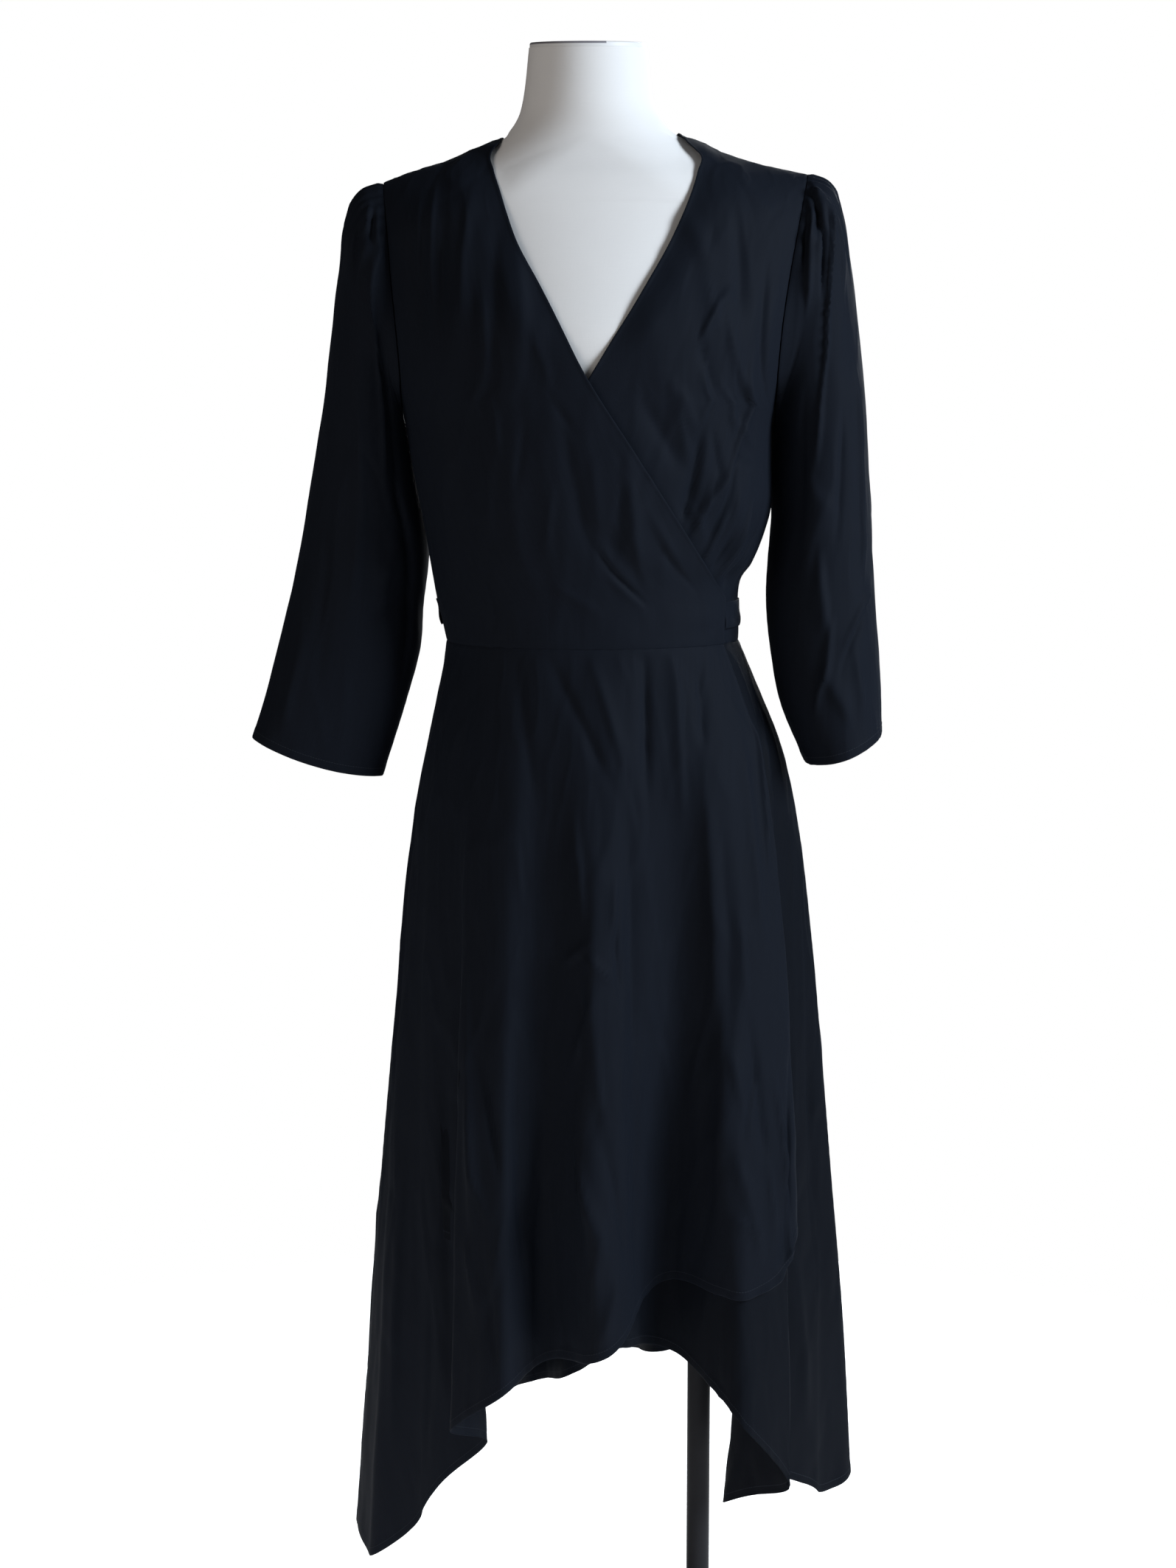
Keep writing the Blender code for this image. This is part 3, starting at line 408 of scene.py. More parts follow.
NECK_BLEND_Z = 1.36  # above this the neck's root fills the chest's front and back
NECK_ROOT_Z = 1.424
NECK_ROOT_WIDTH = 0.069
NECK_SPREAD = (0.85, 12.0)  # how fast the root widens downwards, and how fast that grows
NECK_FOOT_Z = 1.42
SHOULDER_CLEAR = 0.0019
NECK_SHIFT = 0.0018  # the neck's foot leans this far to the wearer's left
NECK_SHIFT_FADE = (1.450, 1.425)
NECK_SLOPE = 0.084  # the neck's top rises this much towards the back
NECK_SLOPE_FADE = (1.455, 1.488)
NECK_FRONT_Y = -0.05
CAP_FOOT_Z = 1.4888

RIGHT_BODICE_CREASES = table_of(
    Crease,
    (-142, 1362, -143, 1300, 4.5, 1),
    (-129, 1366, -131, 1278, 5.5, 1.7, 0.3),
    (-120, 1345, -122, 1260, 6, -1.2),
    (-98, 1366, -106, 1270, 6, 1.4, -0.3),
    (-88, 1290, -93, 1190, 6, 1.4, 0.3),
    (-78, 1330, -80, 1225, 8, -1.1),
    (-60, 1330, -58, 1215, 7, 0.9),
    (-44, 1244, -24, 1190, 5, 0.8, -0.3),
    (-30, 1224, -12, 1170, 5, -0.8),
    (-85, 1066, -85, 990, 1.6, -0.8),
    (-112, 1180, -100, 1060, 12, -1.2),
    (-60, 1160, -45, 1040, 12, 1.3, 0, 6),
    (-70, 1210, -74, 1150, 3.4, 0.8, 0.3),
    (-52, 1176, -60, 1120, 3.4, -0.8, -0.3),
    (-84, 1140, -80, 1086, 3.6, 0.8, 0.3),
    (-28, 1120, -34, 1064, 3.6, 0.8, 0.3),
    (-20, 1175, 0, 1070, 8, -1.3, 0.2),
    (2, 1150, 12, 1080, 6, 0.9, -0.3),
    (10, 1068, 46, 1026, 3, -1.9, 0.4),
    (26, 1140, 30, 1076, 5, -1.1, 0.3),
    (36, 1135, 48, 1040, 5, 1.3, -0.3),
    (20, 1044, 50, 1012, 5, 1),
    (60, 1075, 90, 1036, 5, -1, 0.3),
    (52, 1100, 78, 1058, 5, 1, -0.2),
    (-30, 1040, 10, 1012, 7, 0.8),
    (70, 1016, 108, 1010, 4, 0.8),
)
LEFT_BODICE_CREASES = table_of(
    Crease,
    (137, 1225, 116, 1125, 5, 2.1, -0.4),
    (118, 1136, 93, 1100, 4.5, 1.9, -0.4),
    (128, 1160, 104, 1075, 4.5, -1.7, 0.3),
    (95, 1168, 91, 1118, 5.5, -2, 0.3),
    (91, 1122, 76, 1084, 5.5, -1.8, 0.3),
    (82, 1066, 103, 1126, 3.2, 1.6, 0.3),
    (94, 1048, 118, 1098, 3, 1.8, -0.3),
    (104, 1042, 124, 1080, 2.8, -1.4),
    (112, 1040, 139, 1104, 3.4, 1.7, 0.3),
    (120, 1036, 146, 1082, 3, -1.5, -0.3),
    (125, 1144, 139, 1140, 1.4, -0.8),
    (93, 1246, 109, 1277, 4, 1.4, 0.4),
    (109, 1274, 119, 1284, 4, 1.1, 0.4),
    (92, 1248, 104, 1206, 4.8, -1.3, -0.3),
    (64, 1210, 92, 1168, 7, 1.2, 0.3),
    (116, 1262, 136, 1196, 6, 1.3, -0.3),
    (126, 1340, 130, 1260, 10, -1.4),
    (150, 1300, 150, 1205, 7, -1.6, 0.3),
    (46, 1196, 80, 1140, 8, -1.2),
    (80, 1352, 105, 1300, 11, 1),
    (100, 1232, 94, 1176, 3.2, 0.9, 0.3),
    (110, 1206, 122, 1164, 3, 1, -0.3),
    (76, 1186, 88, 1146, 3.4, 1, 0.3),
    (104, 1172, 112, 1128, 2.8, -0.9, 0.3),
    (120, 1182, 140, 1156, 3, 0.9, 0.3),
    (86, 1108, 100, 1076, 2.6, 1, -0.3),
    (128, 1118, 114, 1070, 2.6, 0.9, 0.3),
    (98, 1296, 112, 1252, 4, 0.8, 0.3),
)
BACK_BODICE_CREASES = table_of(
    Crease,
    (-120, 1330, -112, 1210, 9, 1.6, 0.3),
    (-94, 1300, -90, 1170, 10, -1.3),
    (118, 1330, 108, 1200, 9, 1.7, -0.3),
    (90, 1280, 92, 1160, 10, -1.3),
    (-40, 1240, -30, 1110, 11, 1.1),
    (34, 1260, 38, 1120, 11, -1.1),
    (-128, 1110, -70, 1060, 6, 1.6, 0.3),
    (-118, 1082, -60, 1042, 5, -1.4, -0.3),
    (134, 1112, 78, 1066, 6, 1.7, 0.3),
    (124, 1080, 66, 1046, 5, -1.4, 0.3),
    (100, 1128, 50, 1072, 6, 1),
    (-98, 1130, -46, 1078, 6, 1),
    (-62, 1100, -62, 990, 1.5, -0.8),
    (66, 1100, 66, 990, 1.5, -0.8),
    (-24, 1050, 14, 1036, 5, 1),
    (0, 1395, 6, 1330, 14, -0.8),
)
FRONT_SKIRT_CREASES = table_of(
    Crease,
    (48, 978, 51, 862, 6, -2.4, 0.2),
    (96, 962, 98, 905, 5, -1.8, -0.2),
    (72, 976, 80, 850, 6, 1.5, 0.2),
    (-27, 966, 20, 874, 7, -1.4, 0.3),
    (4, 970, 30, 890, 6, 1.4, -0.3),
    (-60, 972, -46, 860, 8, -1.2),
    (23, 792, 21, 744, 3.5, 1.8, 0.4),
    (21, 752, 30, 690, 4.5, -1.6, -0.3),
    (0, 730, 19, 710, 3.6, 2, 0.4),
    (-18, 722, 3, 737, 3.4, 1.6, -0.3),
    (-6, 700, 6, 630, 6, -1.8, 0.3),
    (-12, 580, 20, 464, 5, 2, 0.4),
    (12, 575, 32, 470, 6, -1.4, -0.3),
    (4, 660, 14, 590, 5, 1.6),
    (24, 455, 12, 402, 6, 1.6, -0.3),
    (-89, 632, -77, 548, 3.6, -2.2, 0.4),
    (-100, 600, -94, 500, 6, 1.6),
    (-88, 460, -80, 370, 6, -1.4, 0.3),
    (158, 612, 171, 458, 3.2, 2.2, 0.4),
    (171, 466, 161, 440, 3.2, 1.8, 0.3),
    (140, 660, 152, 520, 5, -1.5, 0.3),
    (126, 560, 148, 468, 5, 1.3, -0.3),
    (153, 912, 155, 800, 3, 2.2, 0.4),
    (132, 900, 146, 740, 6, 1.3, 0.2),
    (112, 830, 122, 650, 8, -1.4),
    (-150, 850, -176, 560, 2.8, 1.4, 0.4),
    (-166, 500, -178, 300, 6, 1.6, 0.3),
    (-140, 420, -146, 260, 8, -1.4),
    (-36, 780, -44, 560, 11, 1),
    (6, 800, 0, 620, 11, 2.4, -0.35),
    (-6, 600, 6, 430, 11, 2.6, -0.35),
    (36, 830, 40, 620, 11, -2.4, 0.2),
    (40, 600, 44, 440, 12, -2.4, 0.2),
    (100, 860, 108, 680, 9, 2, -0.3),
    (116, 660, 112, 500, 9, 2.2, -0.3),
    (-104, 700, -98, 470, 8, 2, 0.3),
    (-126, 600, -122, 360, 8, -2, 0.2),
    (-60, 640, -56, 440, 10, -1.8, 0.2),
    (150, 560, 160, 480, 4, 1.4, 0.3),
    (-10, 840, -4, 760, 5, 1.2, 0.4),
    (2, 690, -10, 640, 4, 1.4, -0.4),
    (-4, 540, 6, 500, 3.6, 1.4, 0.4),
    (14, 500, 4, 440, 4, 1.3, -0.4),
    (128, 760, 136, 690, 4, 1.3, 0.4),
    (120, 640, 134, 590, 4, 1.4, -0.4),
    (142, 620, 130, 556, 3.6, -1.2, 0.4),
    (126, 500, 146, 486, 3.6, 1.2, 0.4),
    (-98, 540, -88, 500, 3.6, 1.3, -0.4),
    (-106, 480, -96, 430, 4, 1.3, 0.4),
    (196, 640, 206, 420, 8, -1.6, 0.3),
    (188, 420, 200, 280, 7, 1.6, 0.3),
)
BACK_SKIRT_CREASES = table_of(
    Crease,
    (-20, 968, -36, 850, 6, 1.6, 0.3),
    (26, 970, 22, 840, 6, -1.6, 0.2),
    (60, 972, 74, 850, 6, 1.5, -0.3),
    (-70, 966, -88, 846, 6, -1.5),
    (30, 700, 34, 560, 5, 1.8, 0.3),
    (-50, 720, -58, 600, 5, -1.6, 0.3),
    (130, 640, 140, 500, 5, 1.8, -0.3),
    (-130, 560, -140, 420, 5, 1.8, 0.3),
    (30, 460, 36, 330, 6, -1.6),
    (-56, 430, -52, 300, 5, 1.8, -0.3),
    (210, 600, 226, 420, 6, -1.4),
    (-190, 500, -204, 330, 6, 1.4),
)
RIGHT_SLEEVE_CREASES = table_of(
    Crease,
    (-171.2, 1352, -176.5, 1312, 3.4, 2, 0.2),
    (-176.2, 1322, -179.5, 1240, 3.6, 2.2, 0.2),
    (-179, 1250, -177, 1130, 4, 1.8, 0.2),
    (-178.5, 1356, -180.3, 1328, 2.6, 1.8),
    (-174.5, 1350, -176, 1330, 2.4, -1.8),
    (-186.6, 1360, -188.5, 1338, 2.8, 1.5),
    (-183, 1352, -184.2, 1326, 2.6, -1.5),
    (-193, 1350, -199, 1300, 5, -1.4),
    (-174, 1230, -166, 1110, 6, -1.6, 0.3),
    (-166, 1120, -156, 1040, 6, -1.8, 0.3),
    (-156, 1050, -164, 960, 6, -1.6, 0.3),
    (-196, 1180, -206, 1030, 8, 1.2),
    (-224, 1100, -240, 960, 9, -1.1),
    (-160, 1062, -186, 1040, 4, 1.2, 0.3),
    (-158, 1030, -196, 1006, 4.5, -1.2, -0.3),
    (-250, 985, -268, 915, 7, 1.1),
)
LEFT_SLEEVE_CREASES = table_of(
    Crease,
    (192.5, 1372, 204, 1356, 3.2, 2, -0.3),
    (203.5, 1360, 206.8, 1312, 3.2, 2.6, -0.4),
    (206.8, 1322, 204, 1270, 3.2, 2.6, -0.4),
    (204.2, 1282, 202, 1220, 3.6, 2.2, -0.4),
    (198.5, 1345, 199, 1290, 4.2, -2.4, 0.3),
    (187.2, 1366, 191, 1350, 2.6, 2, -0.3),
    (191, 1354, 188.4, 1326, 2.6, 2, -0.3),
    (188.4, 1330, 186.6, 1278, 2.8, 1.8, -0.3),
    (185.6, 1345, 183, 1310, 2.6, -2),
    (191.2, 1378, 197.5, 1359, 2.6, 1.8, -0.3),
    (197.5, 1362, 200.6, 1336, 2.8, 1.7, -0.3),
    (194.5, 1362, 195.5, 1330, 2.6, -1.8),
    (212, 1350, 218, 1290, 5, 1.4),
    (201, 1225, 198, 1150, 4.5, 1.7, 0.3),
    (230, 1215, 236, 1125, 3.8, 2, 0.3),
    (236, 1133, 238, 1050, 3.8, 2, -0.3),
    (247, 1030, 224, 984, 3.4, 2.2, 0.4),
    (240, 1010, 222, 972, 4, -1.6, -0.4),
    (200, 1060, 209, 996, 4.5, 2, 0.4),
    (209, 1002, 207, 954, 4.5, 2, 0.4),
    (207, 960, 198, 926, 4.5, 1.8, 0.4),
    (205, 958, 228, 920, 3.6, 1.9, -0.4),
    (218, 1180, 216, 1080, 7, -1.4),
    (186, 1180, 182, 1060, 8, -1.4, 0.3),
    (190, 1130, 214, 1100, 4.8, 1.2, 0.3),
    (232, 975, 240, 925, 5, 1.4),
)

CAP_GATHERS = table_of(
    Gather,
    (-58, 30, 4, 1.2), (-47, 48, 4.4, 1.6), (-37, 36, 3.8, 1.8), (-28, 62, 4.2, 2), (-19, 44, 3.6, 1.9),
    (-10.5, 72, 4.2, 2.2), (-2, 50, 3.6, 2), (6, 66, 3.8, 2.2), (14, 40, 3.4, 1.9),
    (22.5, 90, 4.4, 2.4), (31, 46, 3.6, 2), (40, 62, 4, 1.9), (49, 34, 3.8, 1.6), (58, 46, 4.2, 1.3),
)

ARMHOLES = {-1: RIGHT_ARMHOLE, 1: LEFT_ARMHOLE}
STITCH_FROM_EDGE = 0.0072
NO_EDGE = 0.05  # stands for the distance to a stitched edge where there is none
HEM_LAYER = 0.0003  # a turned hem stands up by this much
HEM_FADE = (0.0100, 0.0088)
SEAM_FADE = (0.0, 0.012)  # creases and ripples die away towards a seam
PUCKER = 0.00012  # height of the small waves along a seam
PUCKER_REACH = 0.0045
PUCKER_RATES = (420, 67)  # of the waves and of their unevenness, in radians a metre
CREASE_START = (-0.25, 0.35)  # where a crease rises and falls, as shares of its length
CREASE_END = (1.25, 0.65)
NEARER = 0.0001  # how much a point in front is preferred, in square metres for each metre
TURNED_AWAY = 0.01  # how much a point that faces away is put off, in square metres
SHARP_ANGLE = 38.0  # edges of the hard parts from this angle on are shaded sharp
LINEN_SHARP_ANGLE = 50.0
ROLLS = {
    SEAM: table_of(Roll, (0, 1.4, -0.30)),
    HEM: table_of(Roll, (0, 0.6, -0.30), (7.2, 0.6, -0.16)),
    BOUND: table_of(Roll, (1.3, 1.3, 0.42)),
    TURNED: table_of(Roll, (0, 0.9, -0.25)),
}


# ------------------------------------------------------------ numbers
def smooth(knots: Sequence[float], values: Sequence[float], at: Any) -> Array:
    """Smooth curve through values at knots, flat past both ends.

    Args:
        knots: Rising places of the values.
        values: One value for each knot.
        at: Places to read.

    Returns:
        The curve's value at each place.
    """
    knots = np.asarray(knots, float)
    values = np.asarray(values, float)
    slopes = np.gradient(values, knots)
    at = np.clip(np.asarray(at, float), knots[0], knots[-1])
    left = np.clip(np.searchsorted(knots, at, side="right") - 1, 0, len(knots) - 2)
    span = knots[left + 1] - knots[left]
    t = (at - knots[left]) / span
    return (
        values[left] * (1 + 2 * t) * (1 - t) ** 2
        + values[left + 1] * t * t * (3 - 2 * t)
        + slopes[left] * span * t * (1 - t) ** 2
        - slopes[left + 1] * span * t * t * (1 - t)
    )


def column(table: Sequence[Any], name: str) -> Array:
    """One named column of a table."""
    return np.array([getattr(row, name) for row in table])


def read(table: Sequence[Any], key: str, name: str, at: Any) -> Array:
    """Smooth value of one column of a table, read by another.

    Args:
        table: Rows with named fields.
        key: The field that the places belong to.
        name: The field to read.
        at: Places to read.

    Returns:
        The field's value at each place.
    """
    rows = sorted(table, key=lambda row: getattr(row, key))
    return smooth(column(rows, key), column(rows, name), at)


def either(test: Array, table: Sequence[Any], first: str, second: str, z: Any) -> Array:
    """One column of a table at a height where the test holds, and another elsewhere."""
    return np.where(test, read(table, "z", first, z), read(table, "z", second, z))


def wave(knots: Array, values: Array, at: Array) -> Array:
    """Curve that is level at every knot.

    Args:
        knots: Rising places of crests and valleys.
        values: Height of each.
        at: Places to read.

    Returns:
        The wave's value at each place.
    """
    left = np.clip(np.searchsorted(knots, at, side="right") - 1, 0, len(knots) - 2)
    t = np.clip((at - knots[left]) / (knots[left + 1] - knots[left]), 0.0, 1.0)
    return values[left] + (values[left + 1] - values[left]) * (1 - np.cos(np.pi * t)) / 2


def smooth_rings(knots: Sequence[float], rings: Array, at: Array) -> Array:
    """Smooth surface through rings of points.

    Args:
        knots: Rising places of the rings.
        rings: The rings, each a row of points.
        at: Places to read.

    Returns:
        A ring for each place.
    """
    flat = rings.reshape(len(knots), -1)
    read_out = [smooth(knots, flat[:, k], at) for k in range(flat.shape[1])]
    return np.stack(read_out, axis=-1).reshape(len(at), *rings.shape[1:])


def ramp(at: Any, start: float, end: float) -> Array:
    """Smooth step from 0 at start to 1 at end, either way round."""
    t = np.clip((at - start) / (end - start), 0.0, 1.0)
    return t * t * (3 - 2 * t)


def lerp(start: Any, end: Any, t: Any) -> Any:
    """The value a part of the way from start to end."""
    return start + (end - start) * t


def spaced(count: int, length: float, fine_start: bool, fine_end: bool) -> Array:
    """Even fractions from 0 to 1, with close ones next to a sewn edge.

    Args:
        count: Even steps.
        length: Length that the fractions share out, in metres.
        fine_start: Whether the start is sewn.
        fine_end: Whether the end is sewn.

    Returns:
        Rising fractions.
    """
    near = np.array(EDGE_STEPS) / length
    parts = [np.linspace(0.0, 1.0, count + 1)]
    if fine_start:
        parts[0] = parts[0][(parts[0] > near[-1] * 1.1) | (parts[0] == 0.0)]
        parts.append(near)
    if fine_end:
        parts[0] = parts[0][(parts[0] < 1 - near[-1] * 1.1) | (parts[0] == 1.0)]
        parts.append(1 - near)
    return np.unique(np.concatenate(parts))


def running(points: Array, axis: int) -> Array:
    """Length covered so far along the rows or the columns of a grid of points."""
    steps = np.linalg.norm(np.diff(points, axis=axis), axis=-1)
    return np.concatenate([0.0 * steps.take([0], axis=axis), np.cumsum(steps, axis=axis)], axis=axis)


def normals(points: Array, closed: bool = False) -> Array:
    """Unit normals of a grid of points, away from the wearer.

    Args:
        points: Rows by columns by three.
        closed: Whether the last column lies on the first.

    Returns:
        A normal for each point.
    """
    if closed:
        ring = np.concatenate([points[:, -2:-1], points, points[:, 1:2]], axis=1)
        along = np.gradient(ring, axis=1)[:, 1:-1]
    else:
        along = np.gradient(points, axis=1)
    up = np.gradient(points, axis=0)
    cross = np.cross(along, up)
    return cross / np.maximum(np.linalg.norm(cross, axis=-1, keepdims=True), 1e-12)


# ------------------------------------------------------------ shader
Value = Union["Socket", float]


def operator(name: str, swapped: bool = False) -> Callable[..., "Socket"]:
    """A method of Socket that adds one Math node; swapped puts the socket second."""

    def apply(self: "Socket", other: Value = 0.0) -> "Socket":
        """Adds the node."""
        first, second = (other, self) if swapped else (self, other)
        return self.shader.node("ShaderNodeMath", {"operation": name}, {0: first, 1: second})

    return apply


class Socket:
    """A node's output, with arithmetic that adds Math nodes."""

    def __init__(self, shader: "Shader", link: bpy.types.NodeSocket) -> None:
        """Wraps a link of a shader."""
        self.shader = shader
        self.link = link

    __add__ = __radd__ = operator("ADD")
    __sub__ = operator("SUBTRACT")
    __rsub__ = operator("SUBTRACT", swapped=True)
    __mul__ = __rmul__ = operator("MULTIPLY")
    __truediv__ = operator("DIVIDE")
    __pow__ = operator("POWER")
    __lt__ = operator("LESS_THAN")
    __gt__ = operator("GREATER_THAN")
    size = operator("ABSOLUTE")
    sine = operator("SINE")


class Shader:
    """One material and the calls that add its nodes."""

    def __init__(self, name: str) -> None:
        """Makes a material with a Principled surface.

        Args:
            name: The material's name.
        """
        self.material = bpy.data.materials.new(name)
        self.material.use_nodes = True
        self.tree = self.material.node_tree
        self.surface = self.tree.nodes["Principled BSDF"]

    def node(self, kind: str, settings: Dict[str, Any], inputs: Dict[Any, Any],
             output: Union[int, str] = 0) -> Socket:
        """Adds any node.

        Args:
            kind: The node's type name.
            settings: Properties, set first.
            inputs: Value or socket for each input.
            output: Which output is wanted.

        Returns:
            The output, wrapped.
        """
        made = self.tree.nodes.new(kind)
        for name, value in settings.items():
            setattr(made, name, value)
        for name, value in inputs.items():
            if isinstance(value, Socket):
                self.tree.links.new(value.link, made.inputs[name])
            else:
                made.inputs[name].default_value = value
        return Socket(self, made.outputs[output])

    def set(self, **values: Any) -> None:
        """Sets or links inputs of the surface; names use underscores for spaces."""
        for name, value in values.items():
            place = self.surface.inputs[name.replace("_", " ").title().replace("Ior", "IOR")]
            if isinstance(value, Socket):
                self.tree.links.new(value.link, place)
            else:
                place.default_value = (*value, 1.0) if isinstance(value, tuple) else value

    def place(self) -> Socket:
        """Object coordinates."""
        return self.node("ShaderNodeTexCoord", {}, {}, "Object")

    def map(self, layer: str) -> Socket:
        """A UV layer by name."""
        return self.node("ShaderNodeUVMap", {"uv_map": layer}, {})

    def parts(self, vector: Socket) -> Tuple[Socket, Socket, Socket]:
        """The three numbers of a vector."""
        first = self.node("ShaderNodeSeparateXYZ", {}, {0: vector}, 0)
        outputs = first.link.node.outputs
        return first, Socket(self, outputs[1]), Socket(self, outputs[2])

    def scaled(self, vector: Socket, scale: Point) -> Socket:
        """A vector times another, part by part."""
        return self.node("ShaderNodeVectorMath", {"operation": "MULTIPLY"}, {0: vector, 1: scale})

    def noise(self, vector: Socket, scale: float, detail: float = 2.0, rough: float = 0.5) -> Socket:
        """Noise from 0 to 1."""
        return self.node("ShaderNodeTexNoise", {},
                         {"Vector": vector, "Scale": scale, "Detail": detail, "Roughness": rough})

    def mix(self, factor: Value, first: Union[Colour, Socket], second: Union[Colour, Socket]) -> Socket:
        """Mixes two colours."""
        ends = [colour if isinstance(colour, Socket) else (*colour, 1.0) for colour in (first, second)]
        return self.node("ShaderNodeMix", {"data_type": "RGBA"}, {0: factor, 6: ends[0], 7: ends[1]}, 2)

    def bump(self, height: Socket, distance: float, strength: float = 1.0) -> Socket:
        """Normal from a height that runs from 0 to 1 over a distance in metres."""
        return self.node("ShaderNodeBump", {},
                         {"Height": height, "Distance": distance, "Strength": strength})


@dataclass(frozen=True)
class CrepeFinish:
    """Near-black navy crepe: pebbled yarns, a little sheen, stitches along the hems."""

    name: str = "navy_crepe"
    dark: Colour = (0.0044, 0.0055, 0.0082)
    light: Colour = (0.0078, 0.0102, 0.0164)
    sheen_tint: Colour = (0.42, 0.56, 0.80)
    sheen: float = 0.012
    yarn_scale: Point = (1900.0, 900.0, 1.0)
    streak_scale: Point = (420.0, 14.0, 1.0)
    relief: float = 0.00016
    stitch_length: float = 0.0024
    stitch_width: float = 0.00028
    stitch_colour: Colour = (0.020, 0.023, 0.030)

    def build(self) -> bpy.types.Material:
        """Makes the material."""
        shader = Shader(self.name)
        cloth = shader.map("cloth")
        grain = shader.noise(shader.scaled(cloth, self.yarn_scale), 1.0, 3.0, 0.6)
        streak = shader.noise(shader.scaled(cloth, self.streak_scale), 1.0, 2.0, 0.6)
        cloud = shader.noise(shader.place(), 9.0, 3.0, 0.6)
        along, edge, _ = shader.parts(shader.map("sewing"))
        line = (edge - STITCH_FROM_EDGE).size() < self.stitch_width
        thread = (along * (2 * math.pi / self.stitch_length)).sine() > -0.45
        stitch = line * thread
        tone = grain * 0.35 + streak * 0.35 + cloud * 0.3
        colour = shader.mix(tone, self.dark, self.light)
        shader.set(
            base_color=shader.mix(stitch * 0.8, colour, self.stitch_colour),
            roughness=0.60 + grain * 0.16 + cloud * 0.06,
            normal=shader.bump(grain * 0.7 + streak * 0.2 + stitch * 0.9 - line * 0.5, self.relief, 0.9),
            sheen_weight=self.sheen,
            sheen_roughness=0.42,
            sheen_tint=self.sheen_tint,
            specular_ior_level=0.05,
        )
        return shader.material


@dataclass(frozen=True)
class LinenFinish:
    """Warm white linen drawn over the form: a plain weave with thicker yarns here and there."""

    pale: Colour = (0.80, 0.775, 0.755)
    deep: Colour = (0.72, 0.695, 0.675)
    pitch: float = 0.00062
    slub_scale: Point = (900.0, 60.0, 1.0)
    slub_across_scale: Point = (60.0, 900.0, 1.0)
    relief: float = 0.00018

    def build(self) -> bpy.types.Material:
        """Makes the material."""
        shader = Shader("form_linen")
        across, along, _ = shader.parts(shader.map("cloth"))
        turn = math.pi / self.pitch
        warp = (across * turn).sine().size()
        weft = (along * turn).sine().size()
        slub = shader.noise(shader.scaled(shader.map("cloth"), self.slub_scale), 1.0, 2.0)
        slub_across = shader.noise(shader.scaled(shader.map("cloth"), self.slub_across_scale), 1.0, 2.0)
        cloud = shader.noise(shader.place(), 7.0, 4.0, 0.6)
        weave = warp * 0.5 + weft * 0.5
        tone = weave * 0.25 + slub * 0.2 + slub_across * 0.2 + cloud * 0.35
        shader.set(
            base_color=shader.mix(tone, self.deep, self.pale),
            roughness=0.84 + slub * 0.1,
            normal=shader.bump(weave * 0.6 + slub * 0.3 + slub_across * 0.3, self.relief, 0.55),
            sheen_weight=0.08,
            sheen_roughness=0.5,
            specular_ior_level=0.25,
        )
        return shader.material


@dataclass(frozen=True)
class CapFinish:
    """Grey plate on the neck, let into the linen: pale below and along its rim on the +X side."""

    dark: Colour = (0.15, 0.14, 0.155)
    light: Colour = (0.23, 0.22, 0.24)
    pale: Colour = (0.72, 0.70, 0.685)
    rim_radius: float = 0.0470
    linen_height: float = 0.0030
    pale_rim_from_x: float = 0.0155
    relief: float = 0.00008

    def build(self) -> bpy.types.Material:
        """Makes the material."""
        shader = Shader("neck_cap_grey")
        place = shader.place()
        x, y, z = shader.parts(place)
        grain = shader.noise(place, 1400.0, 3.0, 0.6)
        cloud = shader.noise(place, 40.0, 4.0, 0.6)
        rim = (x * x + y * y) ** 0.5 > self.rim_radius
        height = z - (y - NECK_FRONT_Y) * NECK_SLOPE - CAP_FOOT_Z
        # the rim is pale only on the +X side
        pale_rim = rim * (x > self.pale_rim_from_x)
        covered = height < self.linen_height
        colour = shader.mix(cloud, self.dark, self.light)
        shader.set(
            base_color=shader.mix(pale_rim + covered - pale_rim * covered, colour, self.pale),
            roughness=0.42 + grain * 0.2,
            normal=shader.bump(grain, self.relief, 0.5),
            specular_ior_level=0.45,
        )
        return shader.material


@dataclass(frozen=True)
class PaintFinish:
    """Dark powder paint on steel: fine orange peel, and dust near the floor."""

    dark: Colour = (0.012, 0.012, 0.0135)
    light: Colour = (0.024, 0.024, 0.027)
    dust: Colour = (0.16, 0.155, 0.15)
    dust_height: float = 0.05
    relief: float = 0.00006

    def build(self) -> bpy.types.Material:
        """Makes the material."""
        shader = Shader("stand_paint")
        place = shader.place()
        _, _, height = shader.parts(place)
        peel = shader.noise(place, 900.0, 2.0, 0.5)
        cloud = shader.noise(place, 18.0, 5.0, 0.65)
        low = (1 - height / self.dust_height) * (height < self.dust_height)
        specks = shader.noise(place, 160.0, 4.0, 0.7) > 0.56
        dust = low * cloud * specks
        colour = shader.mix(cloud, self.dark, self.light)
        shader.set(
            base_color=shader.mix(dust * 0.5, colour, self.dust),
            roughness=0.42 + cloud * 0.14 + dust * 0.4,
            normal=shader.bump(peel, self.relief, 0.6),
            specular_ior_level=0.06,
        )
        return shader.material


